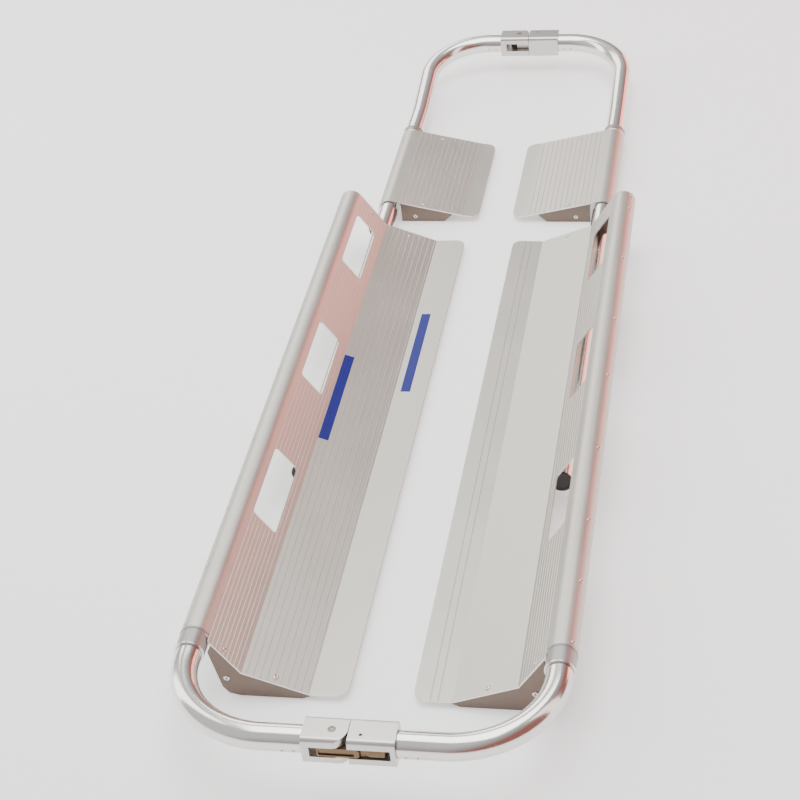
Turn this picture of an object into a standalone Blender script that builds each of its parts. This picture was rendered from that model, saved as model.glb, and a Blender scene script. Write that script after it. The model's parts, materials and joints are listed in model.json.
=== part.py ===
"""Scoop stretcher in aluminium: two lengthwise halves that part under a lying person.

X is the width, Y the length (head end at -Y), Z up, and the stretcher stands on Z = 0.
Each half is a long main section and a leg section that slides out of it along Y.
Two couplings, at the head and at the foot, join the left half to the right half.
The foot coupling's pin is the hinge that the right half swings on.
"""

import math

import bmesh
import bpy
from mathutils import Matrix, Vector

# ---- Driving dimensions, in metres -------------------------------------------------------
GAP = 0.0003                # between pieces that touch
RAIL_X = 0.200              # side rail's centre line from the middle
RAIL_Z = 0.077              # side rail's centre line above the floor
TUBE_RADIUS = 0.0145
TUBE_WALL = 0.002
SHEET = 0.0014              # wall of the extruded panels

MAIN_LENGTH = 0.937         # main panel
LEG_LENGTH = 0.223          # leg panel
SECTION_GAP = 0.067         # between the two panels, leg section pushed in
HEAD_REACH = 0.128          # main panel's end to the head coupling's centre
FOOT_REACH = 0.285          # leg panel's end to the foot coupling's centre
HEAD_BEND = 0.105           # radius of the head handle's corners
FOOT_BEND = 0.095           # largest radius of the foot handle's corners
LEG_STROKE = 0.350          # how far the leg section slides out
TAIL_HOLD = 0.220           # leg tube still under the main panel when slid right out

# Main panel's section: an edge strip, a sloping blade, a steep web and a curl round the rail
FOLD_INSET = 0.048          # fold between blade and web, inwards of the rail
FOLD_Z = 0.0355
BREAK_X = 0.079             # where the blade meets the edge strip
BREAK_Z = 0.0076
EDGE_X = 0.0364             # inner edge, from the middle
EDGE_Z = 0.0088
EDGE_CORNER = 0.013         # radius of the panel's inner corners

# Leg panel's section: an edge strip and a blade that curls round the leg tube
LEG_LIFT = 0.0054           # leg tube's underside above the floor
LEG_WEB_CLEAR = 0.0011      # leg tube to the underside of the main panel's web
LEG_BREAK_X = 0.0487
LEG_BREAK_Z = 0.0111
LEG_EDGE_X = 0.0263
LEG_EDGE_Z = 0.0085
FOOT_RISE = math.radians(8) # slope of the raised foot handle
FOOT_STRAIGHT = 0.085       # level tube between the leg panel and the raised handle

# Hand holes in the web
WINDOW_COUNT = 3
WINDOW_LENGTH = 0.1225
WINDOW_PITCH = 0.2748
WINDOW_FROM_END = 0.108     # main panel's foot end to the nearest hole's centre
WINDOW_LOW = 0.0145         # hole's lower edge, up the web from the fold
WINDOW_TOP_RIM = 0.0065     # hole's upper edge, down the web from the curl
WINDOW_CORNER = 0.005

# End plates under the panels
PLATE = 0.0025
FLANGE = 0.0022
FLANGE_DEPTH = 0.012
PLATE_INSET = 0.0008        # plate's face inside the panel's end
PLATE_TAPER = 0.009         # slope at the plate's inner end
PLATE_HEEL = 0.005          # outer end of the plate's foot, outwards of the fold
PLATE_TOE_X = 0.0245        # plate's outer corner, outwards of the fold
PLATE_TOE_Z = 0.012
PLATE_BELLY = 0.003         # bulge of the edge between heel and outer corner
PLATE_WEB_RIM = 0.0125      # plate's upper end, down the web from the curl
PLATE_COLLAR_CLEAR = 0.0025
POCKET_SPARE = 0.030        # pocket's cutter beyond the plate, sideways
POCKET_DROP = -0.010        # pocket's cutter below the floor

# Leg panel's end plates
LEG_PLATE_OUTER = 0.12      # share of the blade left bare next to the tube
LEG_PLATE_INNER = 0.16      # share of the blade left bare next to the inner strip
LEG_PLATE_SIDE = 0.004      # plate's outer edge to the leg tube
LEG_PLATE_HEEL = 0.012
LEG_PLATE_EDGE = 0.003
LEG_POCKET_SPARE = 0.3      # share of the plate that its pocket's cutter runs over

# Collars on the tubes
COLLAR_WALL = 0.0025        # collar's outside beyond the tube's radius
COLLAR_FRONT = 0.016        # head collar ahead of the main panel
COLLAR_LAP = 0.010          # head collar inside the main panel's end
LEG_COLLAR_LENGTH = 0.015
COLLAR_LIP = 0.0025         # width of the raised lips
COLLAR_WAIST = 0.0006       # depth between the lips
PLUG_DEPTH = 0.012          # plastic plug's spigot
PLUG_FLANGE = 0.003
SMALL_CHAMFER = 0.001

# Couplings
COUPLER_LENGTH = 0.097
COUPLER_MARGIN = 0.003      # block's half side beyond the tube's radius
COUPLER_CORNER = 0.0055
SPLIT_X = -0.001            # parting line between the two blocks
SPLIT_CLEAR = 0.0004        # half the width of the parting gap
SPIGOT = 0.018              # length of the plug inside the tube
COUPLER_PIN_X = -0.018
COUPLER_PIN_RADIUS = 0.004
SLOT_HALF = 0.0065          # fork's slot, half its height
SLOT_END_X = -0.0405
TONGUE_CLEAR = 0.0005
TONGUE_HALF_WIDTH = 0.0085
TONGUE_TIP = 0.004          # tongue's front finger beyond the pin's axis

# Latch lever in the right-hand block
LATCH_TIP_X = -0.034
LATCH_NOSE = 0.005
LATCH_BAR = 0.0055          # thickness of the bar
LATCH_INSET = 0.0005        # bar's face inside the block's face
LATCH_PIVOT_X = 0.0125
LATCH_PIVOT_DEPTH = 0.0113  # pivot's axis, in from the block's face
LATCH_PIN_RADIUS = 0.0015
LATCH_LUG = 0.004
LATCH_END_X = 0.0375
LATCH_CLEAR = 0.0055        # from the pad's end to the pocket's end
LATCH_BEVEL = 0.003
NOSE_CLEAR = 0.0006         # latch's nose to the coupling pin
LATCH_SPRING_X = 0.031
LATCH_SPRING_RADIUS = 0.0021
SPRING_TURNS = 4
SPRING_STEPS = 8            # points in each turn
SPRING_WIRE = 0.0004
SPRING_SIDES = 4

# Locking plungers for the leg section
GUIDE_LENGTH = 0.028
GUIDE_FROM_END = 0.185      # guide block's centre, in from the main panel's foot end
GUIDE_WALL = 0.0052         # guide block's wall round the tube
LOCK_POSITIONS = 4
LOCK_PIN_RADIUS = 0.003
LOCK_TRAVEL = 0.006
LOCK_TIP_CLEAR = 0.001
HOUSING_RADIUS = 0.0058
HOUSING_LENGTH = 0.006
HOUSING_NUT = 0.0025
KNOB_RADIUS = 0.0075
KNOB_LENGTH = 0.009
KNOB_WAIST = 0.0015

# Facets
TUBE_SIDES = 20
RING_SIDES = 20
SMALL_SIDES = 12
BEND_STEPS = 9
CURL_STEPS = 14
FINE_RADIUS = 0.005         # round pieces under this radius take SMALL_SIDES
ROUND_ANGLE = math.radians(35)    # edges flatter than this are shaded smooth
CURL_END = -85              # where the main panel's curl ends, in degrees
LEG_CURL_END = -80

# ---- Sizes that follow from them -----------------------------------------------------------
TUBE_BORE = TUBE_RADIUS - TUBE_WALL
COUPLER_HALF = TUBE_RADIUS + COUPLER_MARGIN
CURL_RADIUS = TUBE_RADIUS + 2 * GAP + SHEET
COLLAR_RADIUS = TUBE_RADIUS + COLLAR_WALL

LENGTH = 2 * COUPLER_HALF + HEAD_REACH + MAIN_LENGTH + SECTION_GAP + LEG_LENGTH + FOOT_REACH
HEAD_Y = -LENGTH / 2 + COUPLER_HALF
MAIN_START = HEAD_Y + HEAD_REACH
MAIN_END = MAIN_START + MAIN_LENGTH
LEG_START = MAIN_END + SECTION_GAP
LEG_END = LEG_START + LEG_LENGTH
FOOT_Y = LEG_END + FOOT_REACH
TAIL_Y = MAIN_END - LEG_STROKE - TAIL_HOLD
GUIDE_Y = MAIN_END - GUIDE_FROM_END

FOLD = Vector((RAIL_X - FOLD_INSET, FOLD_Z))
RAIL = Vector((RAIL_X, RAIL_Z))


def tangent_angle(start, centre, radius):
    """Slope of the line from a point that just touches a circle's upper side."""
    reach = centre - start
    return math.atan2(reach.y, reach.x) + math.asin(radius / reach.length)


def along(start, slope, distance):
    """Point at a distance from another, up a slope."""
    return start + distance * Vector((math.cos(slope), math.sin(slope)))


WEB_SLOPE = tangent_angle(FOLD, RAIL, CURL_RADIUS)
WEB_LENGTH = math.sqrt((RAIL - FOLD).length_squared - CURL_RADIUS**2)
LEG_Z = TUBE_RADIUS + LEG_LIFT
LEG_OFFSET = SHEET + TUBE_RADIUS + LEG_WEB_CLEAR
LEG_X = FOLD.x + (LEG_OFFSET + (LEG_Z - FOLD_Z) * math.cos(WEB_SLOPE)) / math.sin(WEB_SLOPE)
LEG_AXIS = Vector((LEG_X, LEG_Z))
FOOT_CORNER = min(FOOT_BEND, LEG_X - COUPLER_LENGTH / 2 - SPIGOT - GAP)

KINK_Y = LEG_END + FOOT_STRAIGHT
FOOT_Z = LEG_Z + (FOOT_Y - KINK_Y) * math.tan(FOOT_RISE)
PIN_SWING = SPLIT_X - SPLIT_CLEAR - COUPLER_PIN_X    # radius of the fork's round corner
PIN_DEPTH = PIN_SWING                                # pin's axis, in from the block's face
SLOT_SWING = math.hypot(COUPLER_PIN_X - SLOT_END_X, PIN_DEPTH)    # radius of the slot's end
TONGUE_HALF = SLOT_HALF - TONGUE_CLEAR
TONGUE_REAR = 2 * COUPLER_HALF - GAP                 # rear finger's face, all but flush
FINGER_X = COUPLER_PIN_X - math.sqrt((SLOT_SWING - 2 * GAP)**2 - (TONGUE_REAR - PIN_DEPTH)**2)


# ---- Outlines ------------------------------------------------------------------------------
def arc(centre, radius, start, end, steps):
    """Points along an arc, both ends included, angles in degrees."""
    points = []
    for step in range(steps + 1):
        angle = math.radians(start + (end - start) * step / steps)
        points.append(Vector(centre) + radius * Vector((math.cos(angle), math.sin(angle))))
    return points


def offset_chain(chain, distance):
    """A copy of an open chain of points, moved to its right-hand side by a distance."""
    moved = []
    for index, point in enumerate(chain):
        before = chain[max(index - 1, 0)]
        after = chain[min(index + 1, len(chain) - 1)]
        first = (point - before) if index else (after - point)
        second = (after - point) if index < len(chain) - 1 else first
        normals = [Vector((leg.y, -leg.x)).normalized() for leg in (first, second)]
        mitre = (normals[0] + normals[1]).normalized()
        moved.append(point + mitre * distance / mitre.dot(normals[0]))
    return moved


def rounded_box(width, height, radius, steps=3):
    """Outline of a rectangle about the origin with rounded corners."""
    points = []
    for quarter, (side_x, side_y) in enumerate([(1, 1), (-1, 1), (-1, -1), (1, -1)]):
        centre = (side_x * (width / 2 - radius), side_y * (height / 2 - radius))
        points += arc(centre, radius, 90 * quarter, 90 * quarter + 90, steps)
    return points


def main_chain():
    """Upper surface of the main panel, from the inner edge to the end of the curl."""
    top = [Vector((EDGE_X, EDGE_Z)), Vector((BREAK_X, BREAK_Z)), FOLD.copy()]
    return top + arc(RAIL, CURL_RADIUS, math.degrees(WEB_SLOPE) + 90, CURL_END, CURL_STEPS)


def leg_chain():
    """Upper surface of the leg panel, from the inner edge to the end of the curl."""
    knee = Vector((LEG_BREAK_X, LEG_BREAK_Z))
    slope = tangent_angle(knee, LEG_AXIS, CURL_RADIUS)
    top = [Vector((LEG_EDGE_X, LEG_EDGE_Z)), knee]
    curl_start = math.degrees(slope) + 90
    return top + arc(LEG_AXIS, CURL_RADIUS, curl_start, LEG_CURL_END, CURL_STEPS)


# ---- Closed shapes, added to a bmesh in world coordinates ------------------------------------
def prism(shape, outline, start, end, place):
    """A flat outline pushed from start to end; place turns (a, b, depth) into a point."""
    low = [shape.verts.new(place(a, b, start)) for a, b in outline]
    high = [shape.verts.new(place(a, b, end)) for a, b in outline]
    shape.faces.new(low)
    shape.faces.new(high)
    for index in range(len(low)):
        after = (index + 1) % len(low)
        shape.faces.new((low[index], low[after], high[after], high[index]))


def along_y(side):
    """Outlines in X and Z, pushed along Y, on the left (-1) or the right (+1) half."""
    return lambda a, b, depth: (side * a, depth, b)


def along_z(a, b, depth):
    """Outlines in X and Y, pushed along Z."""
    return (a, b, depth)


def sides_for(radius):
    return SMALL_SIDES if radius < FINE_RADIUS else RING_SIDES


def turned(shape, profile, centre, axis):
    """A profile of (radius, distance) turned about an axis; a ring closes on itself."""
    axis = Vector(axis).normalized()
    across = axis.orthogonal().normalized()
    other = axis.cross(across)
    sides = sides_for(max(radius for radius, _ in profile))
    rings = []
    for radius, distance in profile:
        middle = Vector(centre) + axis * distance
        if radius == 0:
            rings.append([shape.verts.new(middle)] * sides)
            continue
        turn = [math.tau * step / sides for step in range(sides)]
        spokes = [across * math.cos(angle) + other * math.sin(angle) for angle in turn]
        rings.append([shape.verts.new(middle + radius * spoke) for spoke in spokes])
    solid = profile[0][0] == 0
    pairs = list(zip(rings, rings[1:])) if solid else list(zip(rings, rings[1:] + rings[:1]))
    for first, second in pairs:
        for step in range(sides):
            after = (step + 1) % sides
            corners = [first[step], first[after], second[after], second[step]]
            shape.faces.new(list(dict.fromkeys(corners)))


def rod(shape, radius, start, end):
    """A plain round bar between two points."""
    reach = Vector(end) - Vector(start)
    turned(shape, [(0, 0), (radius, 0), (radius, reach.length), (0, reach.length)], start, reach)


def swept(shape, path, radii, sides):
    """A tube along a path: one radius makes it solid, two leave it open at both ends."""
    skins = [[] for _ in radii]
    across = None
    for index, point in enumerate(path):
        before = path[max(index - 1, 0)]
        after = path[min(index + 1, len(path) - 1)]
        ahead = ((after - point).normalized() + (point - before).normalized()).normalized()
        across = ahead.orthogonal() if across is None else across - ahead * across.dot(ahead)
        across.normalize()
        other = ahead.cross(across)
        turn = [math.tau * step / sides for step in range(sides)]
        for skin, radius in zip(skins, radii):
            spokes = [across * math.cos(angle) + other * math.sin(angle) for angle in turn]
            skin.append([shape.verts.new(point + radius * spoke) for spoke in spokes])
    for skin in skins:
        for first, second in zip(skin, skin[1:]):
            bridge(shape, first, second)
    for end in (0, -1):
        if len(skins) == 1:
            shape.faces.new(skins[0][end])
        else:
            bridge(shape, skins[0][end], skins[1][end])


def bridge(shape, first, second):
    """Faces between two rings of points."""
    for step in range(len(first)):
        after = (step + 1) % len(first)
        shape.faces.new((first[step], first[after], second[after], second[step]))


# ---- Materials and objects -------------------------------------------------------------------
def material(name, colour, roughness, metallic):
    made = bpy.data.materials.new(name)
    made.use_nodes = True
    surface = made.node_tree.nodes["Principled BSDF"]
    surface.inputs["Base Color"].default_value = (*colour, 1)
    surface.inputs["Roughness"].default_value = roughness
    surface.inputs["Metallic"].default_value = metallic
    return made


def mesh_of(name, build):
    """The mesh that a build function draws, with its faces outwards and its rounds smooth."""
    shape = bmesh.new()
    build(shape)
    bmesh.ops.recalc_face_normals(shape, faces=shape.faces)
    mesh = bpy.data.meshes.new(name)
    shape.to_mesh(mesh)
    shape.free()
    mesh.shade_smooth()
    mesh.set_sharp_from_angle(angle=ROUND_ANGLE)
    return mesh


def piece(name, body, look, build):
    """A named sub-part, held by its body's empty, whose origin is on the joint's axis."""
    mesh = mesh_of(name, build)
    mesh.transform(Matrix.Translation(-body.location))
    mesh.materials.append(look)
    made = bpy.data.objects.new(name, mesh)
    bpy.context.scene.collection.objects.link(made)
    made.parent = body
    return made


def cut(target, name, build, operation="DIFFERENCE"):
    """Cuts a shape out of a sub-part, or joins one to it."""
    guide = bpy.data.objects.new(name, mesh_of(name, build))
    bpy.context.scene.collection.objects.link(guide)
    guide.hide_render = True
    guide.display_type = "WIRE"
    modifier = target.modifiers.new(name, "BOOLEAN")
    modifier.operation = operation
    modifier.solver = "EXACT"
    modifier.object = guide


def body_empty(name, place):
    empty = bpy.data.objects.new(name + "_body", None)
    empty.location = place
    bpy.context.scene.collection.objects.link(empty)
    return empty


# ---- Tubes -----------------------------------------------------------------------------------
def handle_path(side, straight_start, bend_radius, rail_x, centre, direction, tilt_y, tilt):
    """A tube's centre line: straight along Y, round a corner, then along X to a coupling."""
    corner_y = centre.y - direction * bend_radius
    flat = [Vector((rail_x, straight_start, 0))]
    if tilt:
        flat.append(Vector((rail_x, tilt_y, 0)))
    middle = Vector((rail_x - bend_radius, corner_y))
    for point in arc(middle, bend_radius, 0, 90 * direction, BEND_STEPS):
        flat.append(Vector((point.x, point.y, 0)))
    flat.append(Vector((COUPLER_LENGTH / 2 + GAP, centre.y, 0)))
    path = []
    for point in flat:
        rise = max(point.y - tilt_y, 0) * math.tan(tilt) if tilt else 0
        path.append(Vector((side * point.x, point.y, centre.z + rise)))
    return path


def side_tube(name, side, body, look):
    """The rail and its half of the head handle, one bent tube."""
    centre = Vector((0, HEAD_Y, RAIL_Z))
    path = handle_path(side, MAIN_END - GAP, HEAD_BEND, RAIL_X, centre, -1, 0, 0)
    return piece(name, body, look,
                 lambda shape: swept(shape, path, (TUBE_RADIUS, TUBE_BORE), TUBE_SIDES))


def leg_tube(name, side, body, look):
    """The leg tube, from its tail under the main panel to the raised foot handle."""
    centre = Vector((0, FOOT_Y, LEG_Z))
    path = handle_path(side, TAIL_Y, FOOT_CORNER, LEG_X, centre, 1, KINK_Y, FOOT_RISE)
    made = piece(name, body, look,
                 lambda shape: swept(shape, path, (TUBE_RADIUS, TUBE_BORE), TUBE_SIDES))
    cut(made, name + "_lock_holes", lambda shape: lock_holes(shape, side))
    return made


def lock_holes(shape, side):
    """Holes for the locking plunger, in the tube's outer wall."""
    for position in range(LOCK_POSITIONS):
        y = GUIDE_Y - LEG_STROKE * position / (LOCK_POSITIONS - 1)
        inside = side * (LEG_X + TUBE_BORE / 2)
        outside = side * (LEG_X + 2 * TUBE_RADIUS)
        rod(shape, LOCK_PIN_RADIUS + 2 * GAP, (inside, y, LEG_Z), (outside, y, LEG_Z))


def end_plug(name, side, axis, y, inwards, body, look):
    """A turned plastic plug: a spigot in the tube's bore and a flange over its end."""
    spigot = TUBE_BORE - GAP
    profile = [(0, PLUG_DEPTH), (spigot, PLUG_DEPTH), (spigot, -GAP), (TUBE_RADIUS, -GAP)]
    profile += [(TUBE_RADIUS - SMALL_CHAMFER, -PLUG_FLANGE), (0, -PLUG_FLANGE)]
    place = (side * axis.x, y, axis.y)
    return piece(name, body, look,
                 lambda shape: turned(shape, profile, place, (0, inwards, 0)))


# ---- Panels ----------------------------------------------------------------------------------
def panel_section(chain):
    """Closed section of a panel: its upper surface and the same surface one wall below."""
    return chain + list(reversed(offset_chain(chain, SHEET)))


def corner_cutters(shape, side, edge_x, start, end):
    """Rounds the two inner corners of a panel."""
    beyond = EDGE_CORNER
    for y, outwards in ((start, -1), (end, 1)):
        centre = (edge_x + EDGE_CORNER, y - outwards * EDGE_CORNER)
        quarter = arc(centre, EDGE_CORNER, 180, 180 - 90 * outwards, BEND_STEPS)
        outline = [(edge_x - beyond, y - outwards * EDGE_CORNER)] + [tuple(p) for p in quarter]
        outline += [(edge_x + EDGE_CORNER, y + outwards * beyond)]
        outline += [(edge_x - beyond, y + outwards * beyond)]
        prism(shape, [(side * a, b) for a, b in outline], -TUBE_RADIUS, FOLD_Z, along_z)


def window_centres():
    """Y of each hand hole's centre, counted from the foot end."""
    return [MAIN_END - WINDOW_FROM_END - index * WINDOW_PITCH for index in range(WINDOW_COUNT)]


def main_panel_cutters(shape, side):
    """Inner corners, hand holes, and room for the head collar."""
    corner_cutters(shape, side, EDGE_X, MAIN_START, MAIN_END)
    low = WINDOW_LOW
    high = WEB_LENGTH - WINDOW_TOP_RIM
    normal = Vector((-math.sin(WEB_SLOPE), math.cos(WEB_SLOPE)))
    hole = rounded_box(WINDOW_LENGTH, high - low, WINDOW_CORNER)

    for centre_y in window_centres():
        def place(a, b, depth):
            spot = along(FOLD, WEB_SLOPE, (low + high) / 2 + b) + normal * depth
            return (side * spot.x, centre_y + a, spot.y)
        prism(shape, hole, -3 * SHEET, 2 * SHEET, place)

    start = (side * RAIL_X, MAIN_START - COLLAR_LAP, RAIL_Z)
    end = (side * RAIL_X, MAIN_START + COLLAR_LAP + GAP, RAIL_Z)
    rod(shape, COLLAR_RADIUS + 2 * GAP, start, end)


def main_panel(name, side, body, look):
    section = panel_section(main_chain())
    made = piece(name, body, look,
                 lambda shape: prism(shape, section, MAIN_START, MAIN_END, along_y(side)))
    cut(made, name + "_cuts", lambda shape: main_panel_cutters(shape, side))
    return made


def leg_panel(name, side, body, look):
    section = panel_section(leg_chain())
    made = piece(name, body, look,
                 lambda shape: prism(shape, section, LEG_START, LEG_END, along_y(side)))
    cut(made, name + "_cuts",
        lambda shape: corner_cutters(shape, side, LEG_EDGE_X, LEG_START, LEG_END))
    return made


# ---- End plates ------------------------------------------------------------------------------
def bracket(name, side, outline, pocket, face_y, inwards, body, look):
    """A plate across the panel's end with a flange that runs inwards under the panel."""
    back = face_y + inwards * FLANGE_DEPTH
    floor = face_y + inwards * PLATE
    made = piece(name, body, look,
                 lambda shape: prism(shape, outline, face_y, back, along_y(side)))
    cut(made, name + "_pocket",
        lambda shape: prism(shape, pocket, floor, back + inwards * PLATE, along_y(side)))
    return made


def underside(chain, distance):
    """The chain below a panel's underside, at a distance from it."""
    return offset_chain(chain, SHEET + distance)


def main_plate(name, side, face_y, inwards, body, look):
    """End plate of the main section; its lower edge is the face the stretcher stands on."""
    heel = Vector((FOLD.x + PLATE_HEEL, 0))
    toe = Vector((FOLD.x + PLATE_TOE_X, PLATE_TOE_Z))
    belly = (heel + toe) / 2 + Vector((PLATE_BELLY, -PLATE_BELLY))
    web_top = along(FOLD, WEB_SLOPE, WEB_LENGTH - PLATE_WEB_RIM)
    chain = [Vector((BREAK_X - PLATE_TAPER / 2, BREAK_Z)), Vector((BREAK_X, BREAK_Z))]
    chain += [FOLD, web_top]
    top = underside(chain, GAP)
    shoulder = along(RAIL, math.radians(225), COLLAR_RADIUS + PLATE_COLLAR_CLEAR)
    lower = [shoulder, toe, belly, heel, Vector((BREAK_X + PLATE_TAPER, 0))]
    inner = underside(chain, GAP + FLANGE)
    outer_x = inner[-1].x + POCKET_SPARE
    inner_x = inner[0].x - POCKET_SPARE
    below = [Vector((outer_x, inner[-1].y)), Vector((outer_x, POCKET_DROP))]
    below += [Vector((inner_x, POCKET_DROP)), Vector((inner_x, inner[0].y))]
    return bracket(name, side, top + lower, inner + below, face_y, inwards, body, look)


def foot_plate(name, side, body, look):
    """Main section's plate at the foot end, with the hole that the leg tube slides through."""
    made = main_plate(name, side, MAIN_END - PLATE_INSET, -1, body, look)

    def hole(shape):
        reach = 2 * FLANGE_DEPTH
        start = (side * LEG_X, MAIN_END - reach, LEG_Z)
        rod(shape, TUBE_RADIUS + 2 * GAP, start, (side * LEG_X, MAIN_END + reach, LEG_Z))

    cut(made, name + "_tube_hole", hole)
    return made


def leg_plate(name, side, face_y, inwards, body, look):
    """End plate of the leg section, from the tube to the inner strip."""
    chain = leg_chain()[:3]
    outer = chain[2] - LEG_PLATE_OUTER * (chain[2] - chain[1])
    inner_end = chain[1] + LEG_PLATE_INNER * (chain[2] - chain[1])
    top = underside([inner_end, outer], GAP)
    side_foot = Vector((LEG_X - TUBE_RADIUS - LEG_PLATE_SIDE, 0))
    lower = [Vector((side_foot.x, top[1].y - LEG_PLATE_SIDE)), side_foot]
    lower.append(Vector((inner_end.x + LEG_PLATE_HEEL, 0)))
    lower.append(Vector((inner_end.x, top[0].y - LEG_PLATE_EDGE)))
    inner = underside([inner_end, outer], GAP + FLANGE)
    spare = (inner[1] - inner[0]) * LEG_POCKET_SPARE
    inner = [inner[0] - spare, inner[1] + spare]
    below = [Vector((inner[1].x, POCKET_DROP)), Vector((inner[0].x, POCKET_DROP))]
    return bracket(name, side, top + lower, inner + below, face_y, inwards, body, look)


# ---- Collars and guides ----------------------------------------------------------------------
def collar(name, side, axis, start, length, body, look):
    """A sleeve round a tube, with a raised lip at each end."""
    bore = TUBE_RADIUS + GAP
    low = COLLAR_RADIUS - COLLAR_WAIST
    far_lip = length - COLLAR_LIP
    profile = [(bore, 0), (COLLAR_RADIUS, 0), (COLLAR_RADIUS, COLLAR_LIP), (low, COLLAR_LIP)]
    profile += [(low, far_lip), (COLLAR_RADIUS, far_lip)]
    profile += [(COLLAR_RADIUS, length), (bore, length)]
    place = (side * axis.x, start, axis.y)
    return piece(name, body, look, lambda shape: turned(shape, profile, place, (0, 1, 0)))


def guide_block(name, side, body, look):
    """A nylon saddle under the fold that the leg tube slides in, open towards the web."""
    half = TUBE_RADIUS + GUIDE_WALL
    slope = math.atan2(FOLD.y - BREAK_Z, FOLD.x - BREAK_X)
    inner_x = LEG_X - half
    outer_x = LEG_X + half
    low_z = LEG_LIFT / 3
    blade_at = FOLD - Vector((1, math.tan(slope))) * (FOLD.x - inner_x)
    web_at = FOLD + Vector((1, math.tan(WEB_SLOPE))) * (LEG_X + half - FOLD.x)
    top = underside([blade_at, FOLD, web_at], GAP)
    top[0].x = inner_x
    top[2].x = outer_x
    top[2].y = top[1].y + 2 * GUIDE_WALL
    outline = top + [Vector((outer_x, low_z)), Vector((inner_x, low_z))]
    start = GUIDE_Y - GUIDE_LENGTH / 2
    end = GUIDE_Y + GUIDE_LENGTH / 2
    made = piece(name, body, look,
                 lambda shape: prism(shape, outline, start, end, along_y(side)))
    up = Vector((-math.sin(WEB_SLOPE), math.cos(WEB_SLOPE)))
    bore_radius = TUBE_RADIUS + 2 * GAP
    half_angle = math.degrees(math.asin(TUBE_RADIUS / 2 / bore_radius))
    up_angle = math.degrees(WEB_SLOPE) + 90
    keyhole = arc(LEG_AXIS, bore_radius, up_angle + half_angle,
                  up_angle + 360 - half_angle, RING_SIDES)
    keyhole += [keyhole[-1] + up * TUBE_RADIUS, keyhole[0] + up * TUBE_RADIUS]
    cut(made, name + "_bore",
        lambda shape: prism(shape, keyhole, start - GUIDE_WALL, end + GUIDE_WALL, along_y(side)))

    def plunger_hole(shape):
        inside = (side * LEG_X, GUIDE_Y, LEG_Z)
        outside = (side * (outer_x + GUIDE_WALL), GUIDE_Y, LEG_Z)
        rod(shape, LOCK_PIN_RADIUS + GAP, inside, outside)

    cut(made, name + "_plunger_hole", plunger_hole)
    return made


def lock_housing(name, side, body, look):
    """The plunger's threaded housing on the guide block's outer face."""
    start = (side * (LEG_X + TUBE_RADIUS + GUIDE_WALL + GAP), GUIDE_Y, LEG_Z)
    bore = LOCK_PIN_RADIUS + GAP
    neck = HOUSING_RADIUS - SMALL_CHAMFER
    profile = [(bore, 0), (HOUSING_RADIUS, 0), (HOUSING_RADIUS, HOUSING_NUT)]
    profile.append((neck, HOUSING_NUT))
    profile += [(neck, HOUSING_LENGTH), (bore, HOUSING_LENGTH)]
    return piece(name, body, look, lambda shape: turned(shape, profile, start, (side, 0, 0)))


def lock_plunger(name, side, body, look):
    """The plunger's steel pin, drawn back clear of the leg tube."""
    tip = LEG_X + TUBE_RADIUS + LOCK_TIP_CLEAR
    knob_start = LEG_X + TUBE_RADIUS + GUIDE_WALL + HOUSING_LENGTH + LOCK_TRAVEL + 2 * GAP
    length = knob_start + KNOB_LENGTH / 2 - tip
    profile = [(0, 0), (LOCK_PIN_RADIUS - SMALL_CHAMFER, 0), (LOCK_PIN_RADIUS, SMALL_CHAMFER)]
    profile += [(LOCK_PIN_RADIUS, length), (0, length)]
    place = (side * tip, GUIDE_Y, LEG_Z)
    return piece(name, body, look, lambda shape: turned(shape, profile, place, (side, 0, 0)))


def lock_knob(name, side, body, look):
    """The plunger's pull knob, a cap with a blind bore for the pin."""
    start = LEG_X + TUBE_RADIUS + GUIDE_WALL + HOUSING_LENGTH + LOCK_TRAVEL + 2 * GAP
    bore = LOCK_PIN_RADIUS + GAP
    deep = KNOB_LENGTH / 2 + GAP
    waist = KNOB_RADIUS - KNOB_WAIST
    profile = [(0, deep), (bore, deep), (bore, 0), (waist, 0), (waist, KNOB_LENGTH / 3)]
    profile += [(KNOB_RADIUS, KNOB_LENGTH / 2), (KNOB_RADIUS, KNOB_LENGTH - SMALL_CHAMFER)]
    profile += [(KNOB_RADIUS - SMALL_CHAMFER, KNOB_LENGTH), (0, KNOB_LENGTH)]
    place = (side * start, GUIDE_Y, LEG_Z)
    return piece(name, body, look, lambda shape: turned(shape, profile, place, (side, 0, 0)))


# ---- Couplings -------------------------------------------------------------------------------
class Coupling:
    """Places for one coupling: depth is measured in from the face that holds the latch."""

    def __init__(self, y, z, front):
        self.y = y
        self.z = z
        self.front = front

    def at_depth(self, depth):
        return self.y + self.front * (COUPLER_HALF - depth)

    def flat(self, outline):
        """An outline of (x, depth) as points in X and Y."""
        return [(x, self.at_depth(depth)) for x, depth in outline]

    def slab(self, shape, outline, half_height):
        """A flat outline of (x, depth), as thick as twice the half height."""
        prism(shape, self.flat(outline), self.z - half_height, self.z + half_height, along_z)

    def upright(self, shape, x, depth, radius, half_height):
        """An upright round bar."""
        y = self.at_depth(depth)
        rod(shape, radius, (x, y, self.z - half_height), (x, y, self.z + half_height))

    def block(self, shape, start_x, end_x):
        """A length of the square bar with rounded edges that both blocks are cut from."""
        section = rounded_box(2 * COUPLER_HALF, 2 * COUPLER_HALF, COUPLER_CORNER)
        prism(shape, section, start_x, end_x, lambda a, b, x: (x, self.y + a, self.z + b))

    def spigot(self, shape, side):
        """The round plug that goes into the tube, starting inside the block."""
        start = side * (COUPLER_LENGTH / 2 - COUPLER_CORNER / 2)
        end = side * (COUPLER_LENGTH / 2 + SPIGOT)
        rod(shape, TUBE_BORE - GAP, (start, self.y, self.z), (end, self.y, self.z))


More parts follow.
